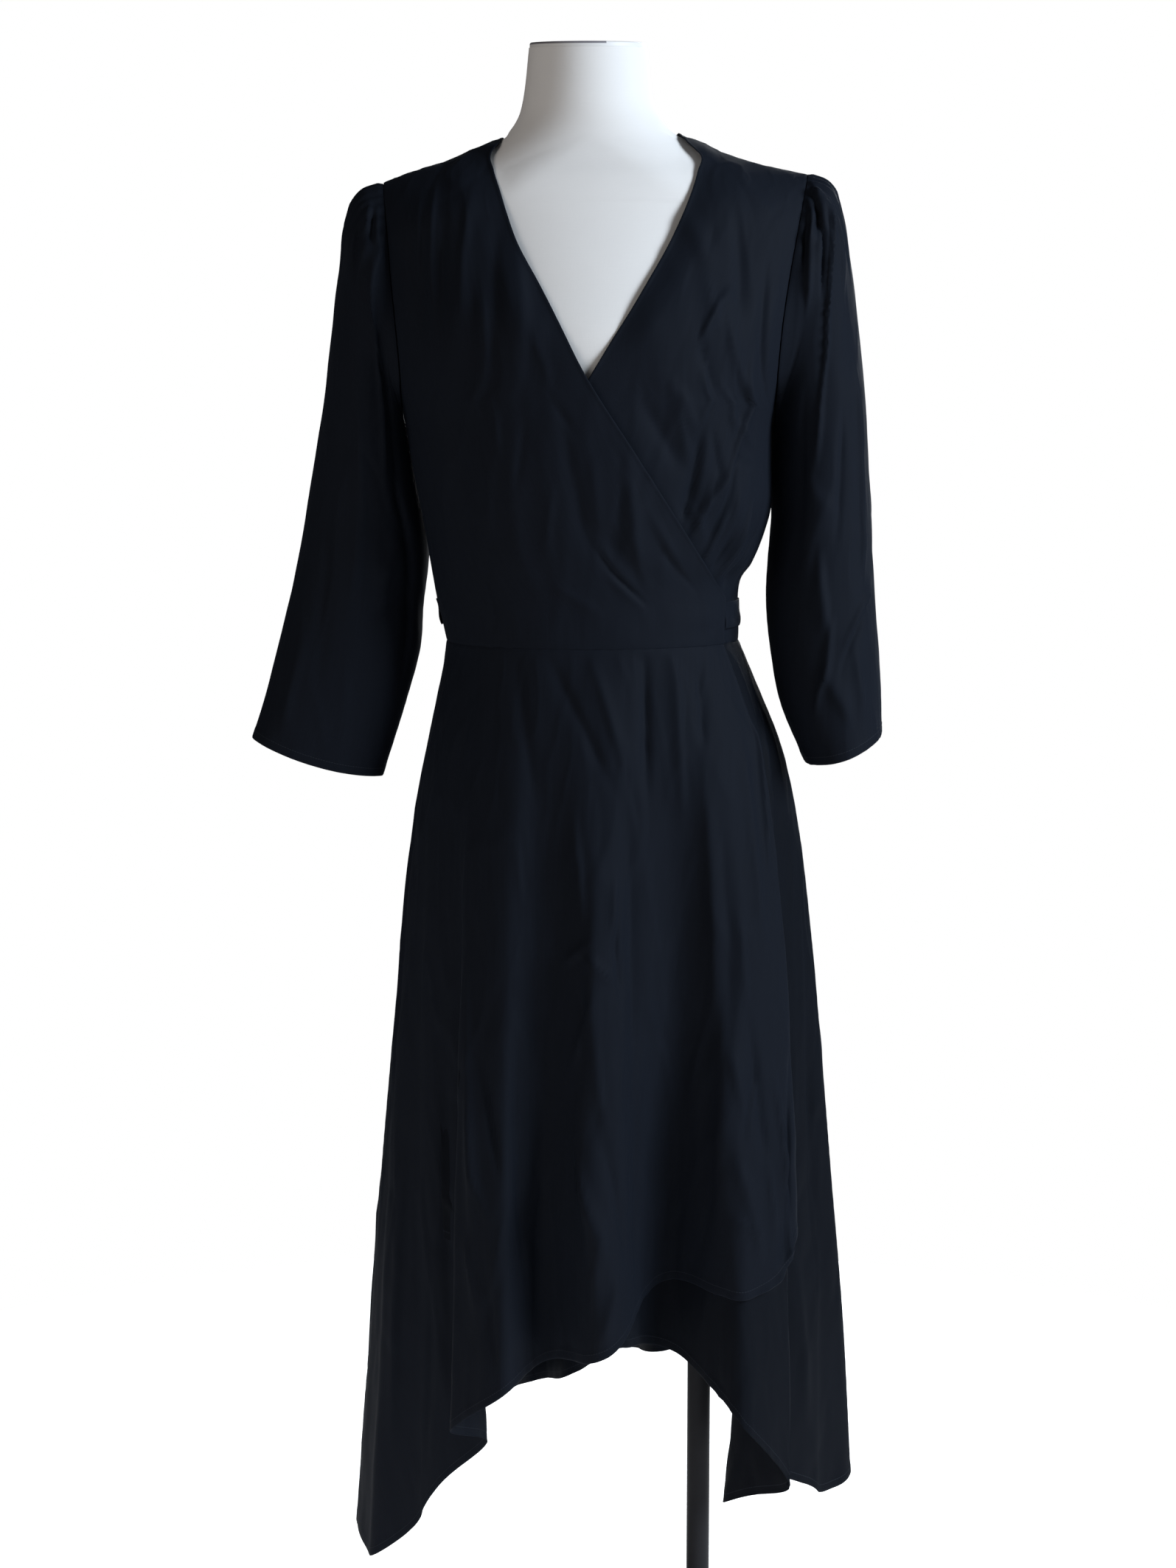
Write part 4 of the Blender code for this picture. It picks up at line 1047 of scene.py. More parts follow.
# ------------------------------------------------------------ the worn shape
class Torso:
    """The worn bodice before its creases."""

    @staticmethod
    def section_point(table: Sequence[Section], angle: Array, z: Any) -> Tuple[Array, Array]:
        """Point of a plain section.

        Args:
            table: The sections.
            angle: Angles round the body.
            z: Heights.

        Returns:
            X and Y.
        """
        turn = np.radians(angle)
        width = either(np.sin(turn) < 0, table, "left", "right", z)
        depth = either(np.cos(turn) > 0, table, "front", "back", z)
        return width * np.sin(turn), -depth * np.cos(turn)

    @staticmethod
    def shoulder_height(x: Array) -> Array:
        """Height of the shoulder ridge."""
        return np.interp(x, column(SHOULDER, "x"), column(SHOULDER, "z"))

    @classmethod
    def rounding(cls, x: Array, z: Any) -> Array:
        """1 on the chest, 0 on the shoulder ridge."""
        below = np.clip((cls.shoulder_height(x) - z) / SHOULDER_ROUND, 0.0, 1.0)
        return np.sqrt(1 - (1 - below) ** 2)

    @classmethod
    def points(cls, angle: Array, z: Array, seam: float = 0.0) -> Array:
        """Points on the bodice; seam moves them off the side and shoulder seams."""
        x, y = cls.section_point(BODICE, angle, z)
        rounding = cls.rounding(x, z)
        y = y * rounding + seam * (2 - rounding)
        return np.stack([x, y, z * np.ones_like(x)], axis=-1)

    @staticmethod
    def angle_of(x: Any, z: Any) -> Array:
        """Angle at which the bodice's front has this X."""
        width = either(np.asarray(x) < 0, BODICE, "left", "right", z)
        return np.degrees(np.arcsin(np.clip(x / width, -1.0, 1.0)))

    @classmethod
    def side_angle(cls, side: int, z: Array) -> Array:
        """Angle of the side seam, and of the armhole above it."""
        at_armhole = cls.angle_of(read(ARMHOLES[side], "z", "x", z), z)
        return np.where(z <= ARMPIT_Z, side * SIDE_ANGLE, at_armhole)


# ------------------------------------------------------------ cloth
def unevenness(point: Array, across: float, down: float, shift: Point = (0, 0, 0)) -> float:
    """Noise about 0 at a point.

    Args:
        point: Its place.
        across: Scale of the noise along X and Y, in cells a metre.
        down: Scale along Z.
        shift: Added to the scaled place.

    Returns:
        The noise.
    """
    x, y, z = point
    return noise.noise(Vector((x * across + shift[0], y * across + shift[1], z * down + shift[2])))


def crest(value: float, sharp: float, power: float) -> float:
    """1 where the value is 0, falling to 0 at 1 / sharp on both sides."""
    return max(1 - abs(value) * sharp, 0.0) ** power


@dataclass
class ClothPiece:
    """One piece of the dress as a sheet on a grid of points.

    Attributes:
        node: The solid that it stands for.
        points: Rows upward, columns so that the normals point away from the wearer.
        sewn: What is sewn along each side.
        cut: Width, length and area that the piece was cut to, in metres; not used.
        creases: Soft ridges and troughs.
        facing: The surface that the creases are on.
        quiet: Part by which creases and ripples are kept down at each point.
        closed: Whether the last column lies on the first.
        ripple: Height of the cloth's slow unevenness.
        crisp: How much the creases stand out.
        streaks: Share of fine broken lines down the cloth.
        extra: Further height of each point.
        rests_on: The pieces that it lies on; not used.
    """

    node: str
    points: Array
    sewn: Dict[Side, Sewing]
    cut: Tuple[float, float, float]
    creases: Sequence[Crease] = ()
    facing: Facing = Facing.FRONT
    quiet: Optional[Array] = None
    closed: bool = False
    ripple: float = 0.0009
    crisp: float = 1.9
    streaks: float = 0.0
    extra: Optional[Array] = None
    held: str = "hung"
    rests_on: Tuple[str, ...] = ("form_body_cover",)

    def nearest(self, x: float, z: float) -> Tuple[int, int]:
        """The grid point nearest to a place, on the side of the piece that faces the viewer."""
        facing = self.facing.value
        hidden = normals(self.points, self.closed)[..., 1] * facing < 0.05
        off = (self.points[..., 0] - x) ** 2 + (self.points[..., 2] - z) ** 2
        off = off - NEARER * facing * self.points[..., 1] + TURNED_AWAY * hidden
        return np.unravel_index(np.argmin(off), off.shape)

    def arcs(self) -> Tuple[Array, Array]:
        """Metres along the rows from the middle column, and down from the top row."""
        across = running(self.points, 1)
        across -= across[:, across.shape[1] // 2][:, None]
        up = running(self.points, 0)
        return across, up[-1] - up

    def distances(self) -> Dict[Side, Array]:
        """Metres from each side of the grid."""
        across, down = self.arcs()
        return {
            Side.FIRST: across - across[:, :1],
            Side.LAST: across[:, -1:] - across,
            Side.LOW: down[:1] - down,
            Side.HIGH: down,
        }

    def crease_height(self) -> Array:
        """Height of all the creases at each point."""
        across, down = self.arcs()
        height = np.zeros(across.shape)
        for crease in self.creases:
            ends = self.nearest(crease.x, crease.z), self.nearest(crease.end_x, crease.end_z)
            start, end = [np.array([across[at], -down[at]]) for at in ends]
            line = end - start
            length = max(float(np.hypot(*line)), 1e-4)
            line = line / length
            along = (across - start[0]) * line[0] + (-down - start[1]) * line[1]
            off = (across - start[0]) * line[1] - (-down - start[1]) * line[0]
            part = along / length
            off = off - crease.bow * 4 * part * (1 - part)
            width = crease.width * np.where(off > 0, 1 + crease.lean, 1 - crease.lean)
            fade = ramp(part, *CREASE_START) * ramp(part, *CREASE_END)
            height += self.crisp * crease.height * fade / (1 + (off / width) ** 2) ** 1.5
        return height

    def ripples(self) -> Array:
        """The cloth's slow unevenness, longer down the cloth than across."""
        height = np.empty(self.points.shape[:2])
        for at in np.ndindex(height.shape):
            point = self.points[at]
            broad = unevenness(point, 22, 7)
            fine = unevenness(point, 70, 26, (9, 0, 0))
            here = min(max(unevenness(point, 13, 8, (4, 0, 0)) * 2 + 0.6, 0.0), 1.0)
            crisp = crest(unevenness(point, 30, 7.5, (broad * 0.5, 0, 3)), 4.5, 1.6)
            dent = crest(unevenness(point, 24, 9, (0, 7, broad * 0.4)), 5.0, 1.6)
            streak = crest(unevenness(point, 52, 8, (fine * 0.3, 11, 5)), 4.0, 1.4)
            height[at] = broad + 0.32 * fine + here * (0.9 * crisp - 0.6 * dent) + self.streaks * streak
        return height * self.ripple

    def edge_height(self) -> Array:
        """Seams sink in, hems stand up by one more layer and faced edges by their roll."""
        height = np.zeros(self.points.shape[:2])
        across, down = self.arcs()
        apart = self.distances()
        for side, sewing in self.sewn.items():
            off = apart[side]
            run = down if side in (Side.FIRST, Side.LAST) else across
            if sewing is HEM:
                height += HEM_LAYER * ramp(off, *HEM_FADE)
            for roll in ROLLS[sewing]:
                height += roll.height * np.exp(-(((off - roll.off) / roll.width) ** 2))
            if sewing is SEAM:
                waves = np.sin(run * PUCKER_RATES[0] + 2.0 * np.sin(run * PUCKER_RATES[1]))
                height += PUCKER * (waves * np.exp(-off / PUCKER_REACH))
        return height

    def relief(self) -> Array:
        """Height of each point off the plain surface."""
        free = 1.0 if self.quiet is None else 1 - self.quiet
        edge_free = 1.0
        for side, off in self.distances().items():
            if self.sewn.get(side) is SEAM:
                edge_free = edge_free * ramp(off, *SEAM_FADE)
        height = (self.crease_height() + self.ripples()) * free * edge_free
        if self.extra is not None:
            height = height + self.extra
        return height + self.edge_height()

    def sewing_map(self) -> Array:
        """Metres along the nearest stitched edge, and off it."""
        across, down = self.arcs()
        near = np.full(across.shape, NO_EDGE)
        run = across.copy()
        for side, off in self.distances().items():
            if self.sewn.get(side) is HEM:
                nearer = off < near
                near = np.where(nearer, off, near)
                run = np.where(nearer, down if side in (Side.FIRST, Side.LAST) else across, run)
        return np.stack([run, near], axis=-1)

    def build(self, finish: bpy.types.Material) -> bpy.types.Object:
        """Args:
            finish: Its material.

        Returns:
            The piece.
        """
        height = self.relief()
        made_points = self.points + normals(self.points, self.closed) * height[..., None]
        across, down = self.arcs()
        maps = {"cloth": np.stack([across, -down], axis=-1), "sewing": self.sewing_map()}
        mesh = grid_mesh(self.node + "_cloth", made_points, maps, self.closed)
        piece = link(self.node + "_cloth", mesh, finish)
        wall = piece.modifiers.new("wall", "SOLIDIFY")
        wall.thickness = CLOTH_THICK
        wall.offset = 0.0
        dress(piece, self.node)
        LOG.info("%s: %d points, %.4f m2 of cloth", piece.name, height.size, sheet_area(made_points))
        return piece


def sheet_area(points: Array) -> float:
    """Area of a grid of points in square metres."""
    first = points[1:, 1:] - points[:-1, :-1]
    second = points[1:, :-1] - points[:-1, 1:]
    return float(np.linalg.norm(np.cross(first, second), axis=-1).sum() / 2)


@contextmanager
def editing(mesh: bpy.types.Mesh) -> Iterator[bmesh.types.BMesh]:
    """A bmesh of the mesh, which is written back when the block ends."""
    shape = bmesh.new()
    shape.from_mesh(mesh)
    yield shape
    shape.to_mesh(mesh)
    shape.free()


def grid_mesh(name: str, points: Array, maps: Dict[str, Array], closed: bool = False) -> bpy.types.Mesh:
    """Quad mesh with one vertex at each grid point.

    Args:
        name: The mesh's name.
        points: Rows by columns by three.
        maps: UV layers by name, rows by columns by two.
        closed: Joins the last column to the first.

    Returns:
        The mesh, shaded smooth.
    """
    levels, columns = points.shape[0] - 1, points.shape[1] - 1
    mesh = bpy.data.meshes.new(name)
    with editing(mesh) as shape:
        bmesh.ops.create_grid(shape, x_segments=columns, y_segments=levels, size=1.0)
    place = np.empty(len(mesh.vertices) * 3, np.float32)
    mesh.vertices.foreach_get("co", place)
    place = place.reshape(-1, 3)
    across = np.rint((place[:, 0] + 1) / 2 * columns).astype(int)
    up = np.rint((place[:, 1] + 1) / 2 * levels).astype(int)
    mesh.vertices.foreach_set("co", points[up, across].astype(np.float32).ravel())
    corner = np.empty(len(mesh.loops), np.int32)
    mesh.loops.foreach_get("vertex_index", corner)
    for layer, values in maps.items():
        made = mesh.uv_layers.new(name=layer)
        made.uv.foreach_set("vector", values[up, across][corner].astype(np.float32).ravel())
    if closed:
        with editing(mesh) as shape:
            bmesh.ops.remove_doubles(shape, verts=shape.verts, dist=1e-6)
    mesh.shade_smooth()
    mesh.update()
    return mesh


def put(name: str, data: Any, place: Point = (0.0, 0.0, 0.0),
        turn: Any = (0.0, 0.0, 0.0)) -> bpy.types.Object:
    """Puts a mesh, lamp or camera in the scene."""
    made = bpy.data.objects.new(name, data)
    made.location = place
    made.rotation_euler = turn
    bpy.context.scene.collection.objects.link(made)
    return made


def link(name: str, mesh: bpy.types.Mesh, finish: bpy.types.Material) -> bpy.types.Object:
    """Puts a mesh in the scene with its material."""
    mesh.materials.append(finish)
    return put(name, mesh)


def dress(piece: bpy.types.Object, node: str) -> None:
    """Lets a piece stand for a solid: it rides with it and hides it."""
    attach(piece, BODY)
    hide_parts(node)


@dataclass
class Bodice:
    """The two wrapped fronts and the back.

    The widths and heights are those that the panels' grids are spaced for.
    """

    finish: bpy.types.Material
    columns: int = 110
    front_width: float = 0.26
    side_columns: int = 30
    side_width: float = 0.10
    neck_columns: int = 90
    low_rows: int = 58
    high_rows: int = 64
    half_height: float = 0.2
    top_ease: float = 2.2
    upright: float = 0.09  # share of the lower rows along which a front's free edge is upright
    passes: int = 9
    neck_dip: float = 0.0045
    neck_dip_reach: float = 0.030
    neck_dip_low: Tuple[float, float] = (1.225, 1.26)
    neck_dip_high: Tuple[float, float] = (1.408, 1.385)
    sunk_quiet: Tuple[float, float] = (0.8, 5.5)  # degrees beyond the upper front's edge

    def levels(self) -> Tuple[Array, Array]:
        """Fractions of the way up below the armpit, and of the way up above it."""
        low = spaced(self.low_rows, self.half_height, True, False)
        high = spaced(self.high_rows, self.half_height, False, True)[1:]
        return low, 1 - (1 - high) ** self.top_ease

    def neckline_dip(self, points: Array, neckline: Sequence[Edge]) -> Array:
        """The open neckline lies down towards the form."""
        x, z = points[..., 0], points[..., 2]
        off = np.abs(x - read(neckline, "z", "x", z))
        fade = ramp(z, *self.neck_dip_low) * ramp(z, *self.neck_dip_high)
        return -self.neck_dip * ramp(off, self.neck_dip_reach, 0.0) * fade

    def front(self, side: int, neckline: Sequence[Edge], tip_z: float) -> Array:
        """Points of one front.

        Args:
            side: -1 for the wearer's right, 1 for the left.
            neckline: Its free edge, from the waist up.
            tip_z: Height of the armhole's top.

        Returns:
            Rows from the waist up, columns from the side seam.
        """
        corner_z = neckline[0].z
        low, high = self.levels()
        outer = np.concatenate([lerp(WAIST_Z + SEAM_GAP, ARMPIT_Z, low), lerp(ARMPIT_Z, tip_z, high)])
        inner_low = np.where(low < self.upright, lerp(WAIST_Z + SEAM_GAP, corner_z, low / self.upright),
                             lerp(corner_z, NECK_SPLIT_Z, (low - self.upright) / (1 - self.upright)))
        inner = np.concatenate([inner_low, lerp(NECK_SPLIT_Z, neckline[-1].z, high)])
        across = spaced(self.columns, self.front_width, True, True)
        z = lerp(outer[:, None], inner[:, None], across[None, :])
        outer_angle = Torso.side_angle(side, outer)
        inner_angle = Torso.angle_of(read(neckline, "z", "x", np.maximum(inner, corner_z)), inner)
        angle = lerp(outer_angle[:, None], inner_angle[:, None], across[None, :])
        top = z[-1]
        for _ in range(self.passes):
            top = Torso.shoulder_height(Torso.section_point(BODICE, angle[-1], top)[0])
        up = np.concatenate([low, 1 + high]) / 2
        z = z + (top - z[-1])[None, :] * up[:, None] ** 3
        return Torso.points(angle, z, -SEAM_GAP)

    def ridge_height(self, points: Array, ridges: Sequence[Ridge]) -> Array:
        """Height of the broad creases that the solids have."""
        height = np.zeros(points.shape[:2])
        for ridge in ridges:
            line_x, line_z = ridge.top_x - ridge.x, ridge.top_z - ridge.z
            length = math.hypot(line_x, line_z)
            off_x, off_z = points[..., 0] - ridge.x, points[..., 2] - ridge.z
            along = (off_x * line_x + off_z * line_z) / length
            across = (off_x * line_z - off_z * line_x) / length
            fade = ramp(along, -0.4 * length, 0.3 * length) * ramp(along, 1.4 * length, 0.7 * length)
            height += ridge.height * np.exp(-((across / ridge.width) ** 2)) * fade
        return height

    def under_layer(self, points: Array, fade: Tuple[float, float] = LAYER_FADE) -> Array:
        """1 where the under front lies below the upper one, 0 well beyond its edge."""
        z = points[..., 2]
        corner_z = RIGHT_NECKLINE[0].z
        edge = Torso.angle_of(read(RIGHT_NECKLINE, "z", "x", np.maximum(z, corner_z)), z)
        return 1 - ramp(Torso.angle_of(points[..., 0], z) - edge, *fade)

    def back_angle(self, across: Array, z: Array) -> Array:
        """Angle a part of the way from the back's left edge to its right."""
        return lerp(180.0 - Torso.side_angle(1, z), 180.0 - Torso.side_angle(-1, z), across)

    def neck_part(self, point: Edge) -> float:
        """Where a neck point lies across the back."""
        left, right = self.back_angle(np.array([0.0, 1.0]), np.full(2, point.z))
        return float((180.0 - Torso.angle_of(point.x, point.z) - left) / (right - left))

    def back(self) -> Array:
        """Points of the back, columns from the wearer's left side seam to the right."""
        start, end = self.neck_part(LEFT_NECKLINE[-1]), self.neck_part(RIGHT_NECKLINE[-1])
        side = spaced(self.side_columns, self.side_width, True, True)
        neck = lerp(start, end, np.linspace(0, 1, self.neck_columns))
        across = np.unique(np.concatenate([side * start, neck, lerp(end, 1.0, side)]))[None, :]
        left, right = LEFT_NECKLINE[-1], RIGHT_NECKLINE[-1]
        top = np.full_like(across, RIGHT_ARMHOLE[-1].z)
        for _ in range(self.passes):
            x = Torso.section_point(BODICE, self.back_angle(across, top), top)[0]
            inside = np.clip(1 - ((x - (left.x + right.x) / 2) / ((left.x - right.x) / 2)) ** 2, 0.0, 1.0)
            neck_z = lerp(right.z, left.z, (x - right.x) / (left.x - right.x)) + BACK_NECK_RISE * inside
            top = np.where(inside > 0, neck_z, Torso.shoulder_height(x))
        low, high = self.levels()
        low = lerp(WAIST_Z + SEAM_GAP, ARMPIT_Z, low)[:, None]
        z = np.concatenate([low * np.ones_like(across), lerp(ARMPIT_Z, top, high[:, None])])
        return Torso.points(self.back_angle(across, z), z, SEAM_GAP)

    def build(self) -> None:
        """Makes the three panels."""
        right = self.front(-1, RIGHT_NECKLINE, RIGHT_ARMHOLE[-1].z)
        from_side = ramp(spaced(self.columns, self.front_width, True, True), 0.0, RIDGE_MARGIN)[None, :]
        ridges = self.ridge_height(right, RIGHT_FRONT_RIDGES) * from_side
        ClothPiece(
            "right_front_bodice", right, edges(SEAM, BOUND, SEAM, SEAM),
            (0.300, 0.470, 0.099), RIGHT_BODICE_CREASES,
            extra=ridges + self.neckline_dip(right, RIGHT_NECKLINE), ripple=0.0010, streaks=0.3,
        ).build(self.finish)
        left = self.front(1, LEFT_NECKLINE, LEFT_ARMHOLE[-1].z)[:, ::-1]
        sunk = self.under_layer(left)
        ridges = self.ridge_height(left, LEFT_FRONT_RIDGES) * from_side[:, ::-1] * (1 - sunk)
        ClothPiece(
            "left_front_bodice", left, edges(BOUND, SEAM, SEAM, SEAM),
            (0.300, 0.470, 0.099), LEFT_BODICE_CREASES, quiet=self.under_layer(left, self.sunk_quiet),
            extra=ridges - LAYER * sunk + self.neckline_dip(left, LEFT_NECKLINE), ripple=0.0010,
            crisp=2.7, streaks=0.3,
        ).build(self.finish)
        ClothPiece(
            "back_bodice", self.back(), edges(SEAM, SEAM, SEAM),
            (0.420, 0.460, 0.170), BACK_BODICE_CREASES, Facing.BACK, ripple=0.0010, streaks=0.3,
        ).build(self.finish)


@dataclass
class Sleeve:
    """One three-quarter sleeve with a gathered cap."""

    finish: bpy.types.Material
    node: str
    side: int
    rings: Sequence[Ring]
    creases: Sequence[Crease]
    columns: int = 150
    rows: int = 130
    ease: float = 1.25
    shoulder_step: float = 0.0005
    armpit_step: float = 0.0013
    crowd: float = 22.0
    armpit_turns: Tuple[float, ...] = (177.8, 178.9, 179.6)
    gather_start: Tuple[float, float] = (-0.001, 0.004)
    gather_drift: float = 60.0  # degrees in each metre down the arm
    dip_height: float = -0.45  # the trough beside a gather, as shares of the gather
    dip_off: float = 1.15
    dip_spread: float = 0.6
    inner_turns: Tuple[float, float] = (120.0, 150.0)
    inner_reach: Tuple[float, float] = (0.20, 0.14)
    inner_quiet: float = 0.8

    def turns(self) -> Array:
        """Angles round the arm from the shoulder, closer together over the cap."""
        close = np.array(self.armpit_turns)
        even = np.unique(np.concatenate([np.linspace(-180.0, 180.0, self.columns + 1), -close, close]))
        return even - self.crowd * np.sin(np.radians(even))

    def armhole(self, turn: Array) -> Array:
        """Seam line; turn is 0 at the shoulder, 90 in front and 180 at the armpit."""
        table = ARMHOLES[self.side]
        down = (1 - np.cos(np.radians(turn))) / 2
        z = lerp(table[-1].z, table[0].z, down)
        angle = Torso.side_angle(self.side, np.maximum(z, ARMPIT_Z + 1e-6))
        angle = np.where(np.sin(np.radians(turn)) < 0, 180.0 - angle, angle)
        points = Torso.points(angle, z)
        points[..., 0] += self.side * lerp(self.shoulder_step, self.armpit_step, down)
        return points

    def surface(self) -> Tuple[Array, Array, Array]:
        """Points from the cuff up, the turns and each row's distance from the seam."""
        turn = self.turns()
        radians = np.radians(turn)
        loops = [self.armhole(turn)]
        for ring in self.rings:
            middle_x = (ring.outer_x + ring.inner_x) / 2
            middle_z = (ring.outer_z + ring.inner_z) / 2
            x = middle_x + (ring.outer_x - middle_x) * np.cos(radians)
            z = middle_z + (ring.outer_z - middle_z) * np.cos(radians)
            y = lerp(ring.y, ring.inner_y, (1 - np.cos(radians)) / 2) - ring.depth * np.sin(radians)
            loops.append(np.stack([x, y, z], axis=-1))
        loops[-1][:, 2] -= CUFF_SAG * np.sin(radians) ** 2
        stack = np.array(loops)
        steps = np.linalg.norm(np.diff(stack, axis=0), axis=-1).mean(axis=1)
        length = np.concatenate([[0.0], np.cumsum(steps)])
        share = spaced(self.rows, float(length[-1]), False, True)
        share = np.unique(np.concatenate([share ** self.ease, np.array(EDGE_STEPS) / length[-1]]))
        at = length[-1] * share
        grid = smooth_rings(length, stack, at)
        return grid[::-1], turn, at[::-1]

    def gathers(self, turn: Array, at: Array) -> Array:
        """Height of the cap's uneven gathers; they swell out and fade down the arm."""
        height = np.zeros((len(at), len(turn)))
        for gather in CAP_GATHERS:
            centre = gather.turn + self.gather_drift * at[:, None] * math.sin(gather.turn)
            off = (turn[None, :] - centre) / gather.spread
            fade = ramp(at, gather.reach, gather.reach * 0.25) * ramp(at, *self.gather_start)
            height += gather.height * fade[:, None] * np.exp(-(off ** 2))
            dip = turn[None, :] - centre - gather.spread * self.dip_off
            dip = dip / (gather.spread * self.dip_spread)
            height += self.dip_height * gather.height * fade[:, None] * np.exp(-(dip ** 2))
        return height

    def build(self) -> None:
        """Makes the sleeve."""
        grid, turn, at = self.surface()
        extra = self.gathers(turn, at)
        inside = ramp(np.abs(turn), *self.inner_turns)[None, :] * ramp(at, *self.inner_reach)[:, None]
        if self.side > 0:
            grid, extra, inside = grid[:, ::-1], extra[:, ::-1], inside[:, ::-1]
        ClothPiece(
            self.node, grid, edges(SEAM, SEAM, HEM, SEAM),
            (0.400, 0.530, 0.150), self.creases, quiet=self.inner_quiet * inside, closed=True, extra=extra,
            ripple=0.0010, crisp=2.3, streaks=0.3,
        ).build(self.finish)


@dataclass
class Skirt:
    """The two wrapped front panels and the back; the under one gets a darker copy of the crepe, which is
    painted shade.

    The widths and the length are those that the panels' grids are spaced for.
    """

    finish: bpy.types.Material
    # a darker copy of the crepe for the under front panel: painted shade
    shaded_crepe: bpy.types.Material
    columns: int = 200
    front_width: float = 0.62
    back_columns: int = 210
    back_width: float = 0.8
    beyond_columns: int = 60
    beyond_width: float = 0.24
    rows: int = 150
    length: float = 0.62
    ease: float = 1.25
    hem_spacing: float = 0.6
    edge_lift: float = 0.0070
    edge_lift_turns: Tuple[float, float] = (44.0, WRAP_ANGLE)
    edge_lift_z: Tuple[float, float] = (0.90, 0.55)

    def points(self, folds: Sequence[Fold], angle: Array, z: Array) -> Array:
        """Points of the folded skirt.

        Args:
            folds: Its crests and valleys.
            angle: Angles round the body.
            z: Heights.

        Returns:
            The points.
        """
        x, y = Torso.section_point(SKIRT, angle, z)
        knots = column(folds, "angle")
        levels = column(folds, "level")
        at_x, at_y = Torso.section_point(SKIRT, knots, levels)
        push_x = wave(knots, column(folds, "x") - at_x, angle)
        push_y = wave(knots, column(folds, "y") - at_y, angle)
        start = wave(knots, column(folds, "start"), angle)
        level = wave(knots, levels, angle)
        grow = np.clip((start - z) / (start - level), 0.0, None) ** FOLD_GROWTH
        return np.stack([x + push_x * grow, y + push_y * grow, z * np.ones_like(x)], axis=-1)

    def angles(self, folds: Sequence[Fold], hem: Sequence[Hem], first: float, last: float,
               share: Array) -> Array:
        """Column angles between two edges, spaced by the length of the folded hem."""
        fine = np.linspace(first, last, 900)
        line = self.points(folds, fine, smooth(column(hem, "angle"), column(hem, "z"), fine))
        part = running(line, 0)
        even = (fine - first) / (last - first)
        spread = part / part[-1] * self.hem_spacing + even * (1 - self.hem_spacing)
        return np.interp(share, spread, fine)

    def panel(self, folds: Sequence[Fold], hem: Sequence[Hem], angles: Array) -> Array:
        """Points of a panel, rows from the hem to the waist."""
        low = smooth(column(hem, "angle"), column(hem, "z"), angles)[None, :]
        up = spaced(self.rows, self.length, True, True)[:, None]
        z = lerp(low, WAIST_Z - SEAM_GAP, 1 - (1 - up) ** self.ease)
        return self.points(folds, angles[None, :] * np.ones_like(z), z)

    def build(self) -> None:
        """Makes the three panels."""
        share = spaced(self.columns, self.front_width, True, True)
        front = self.angles(FRONT_FOLDS, RIGHT_FRONT_HEM, -SIDE_ANGLE, WRAP_ANGLE, share)
        upper = self.panel(FRONT_FOLDS, RIGHT_FRONT_HEM, front)
        upper[:, 0, 1] -= SEAM_GAP
        lift = ramp(front, *self.edge_lift_turns)[None, :] * ramp(upper[..., 2], *self.edge_lift_z)
        ClothPiece(
            "right_front_skirt", upper, edges(SEAM, BOUND, HEM, SEAM),
            (0.620, 0.860, 0.320), FRONT_SKIRT_CREASES, ripple=0.0014, streaks=0.35,
            crisp=2.3, extra=self.edge_lift * lift,
            rests_on=("right_front_bodice_cloth",),
        ).build(self.finish)
        beyond = self.angles(FRONT_FOLDS, LEFT_FRONT_HEM, WRAP_ANGLE, SIDE_ANGLE,
                             spaced(self.beyond_columns, self.beyond_width, False, True))
        hidden_edge = -WRAP_ANGLE + np.array([0.0, 0.12, 0.3, 0.6])
        angles = np.concatenate([hidden_edge, front[front >= -WRAP_ANGLE + 1.0], beyond[1:]])
        under = self.panel(FRONT_FOLDS, LEFT_FRONT_HEM, angles)
        sunk = LAYER * (1 - ramp(angles, WRAP_ANGLE + LAYER_FADE[0] + 1.5, SIDE_ANGLE))
        under = under - normals(under) * sunk[None, :, None]
        under[:, -1, 1] -= SEAM_GAP
        # the under front panel takes the darker copy of the crepe: painted shade
        ClothPiece(
            "left_front_skirt", under, edges(BOUND, SEAM, HEM, SEAM),
            (0.640, 0.820, 0.330), FRONT_SKIRT_CREASES, ripple=0.0014, streaks=0.35, crisp=2.3,
            rests_on=("left_front_bodice_cloth",),
        ).build(self.shaded_crepe)
        share = spaced(self.back_columns, self.back_width, True, True)
        back = self.angles(BACK_FOLDS, BACK_HEM, SIDE_ANGLE, 360.0 - SIDE_ANGLE, share)
        rear = self.panel(BACK_FOLDS, BACK_HEM, back)
        rear[:, (0, -1), 1] += SEAM_GAP
        ClothPiece(
            "back_skirt", rear, edges(SEAM, SEAM, HEM, SEAM),
            (0.820, 0.840, 0.470), BACK_SKIRT_CREASES, Facing.BACK, ripple=0.0013, streaks=0.35,
            rests_on=("back_bodice_cloth",),
        ).build(self.finish)


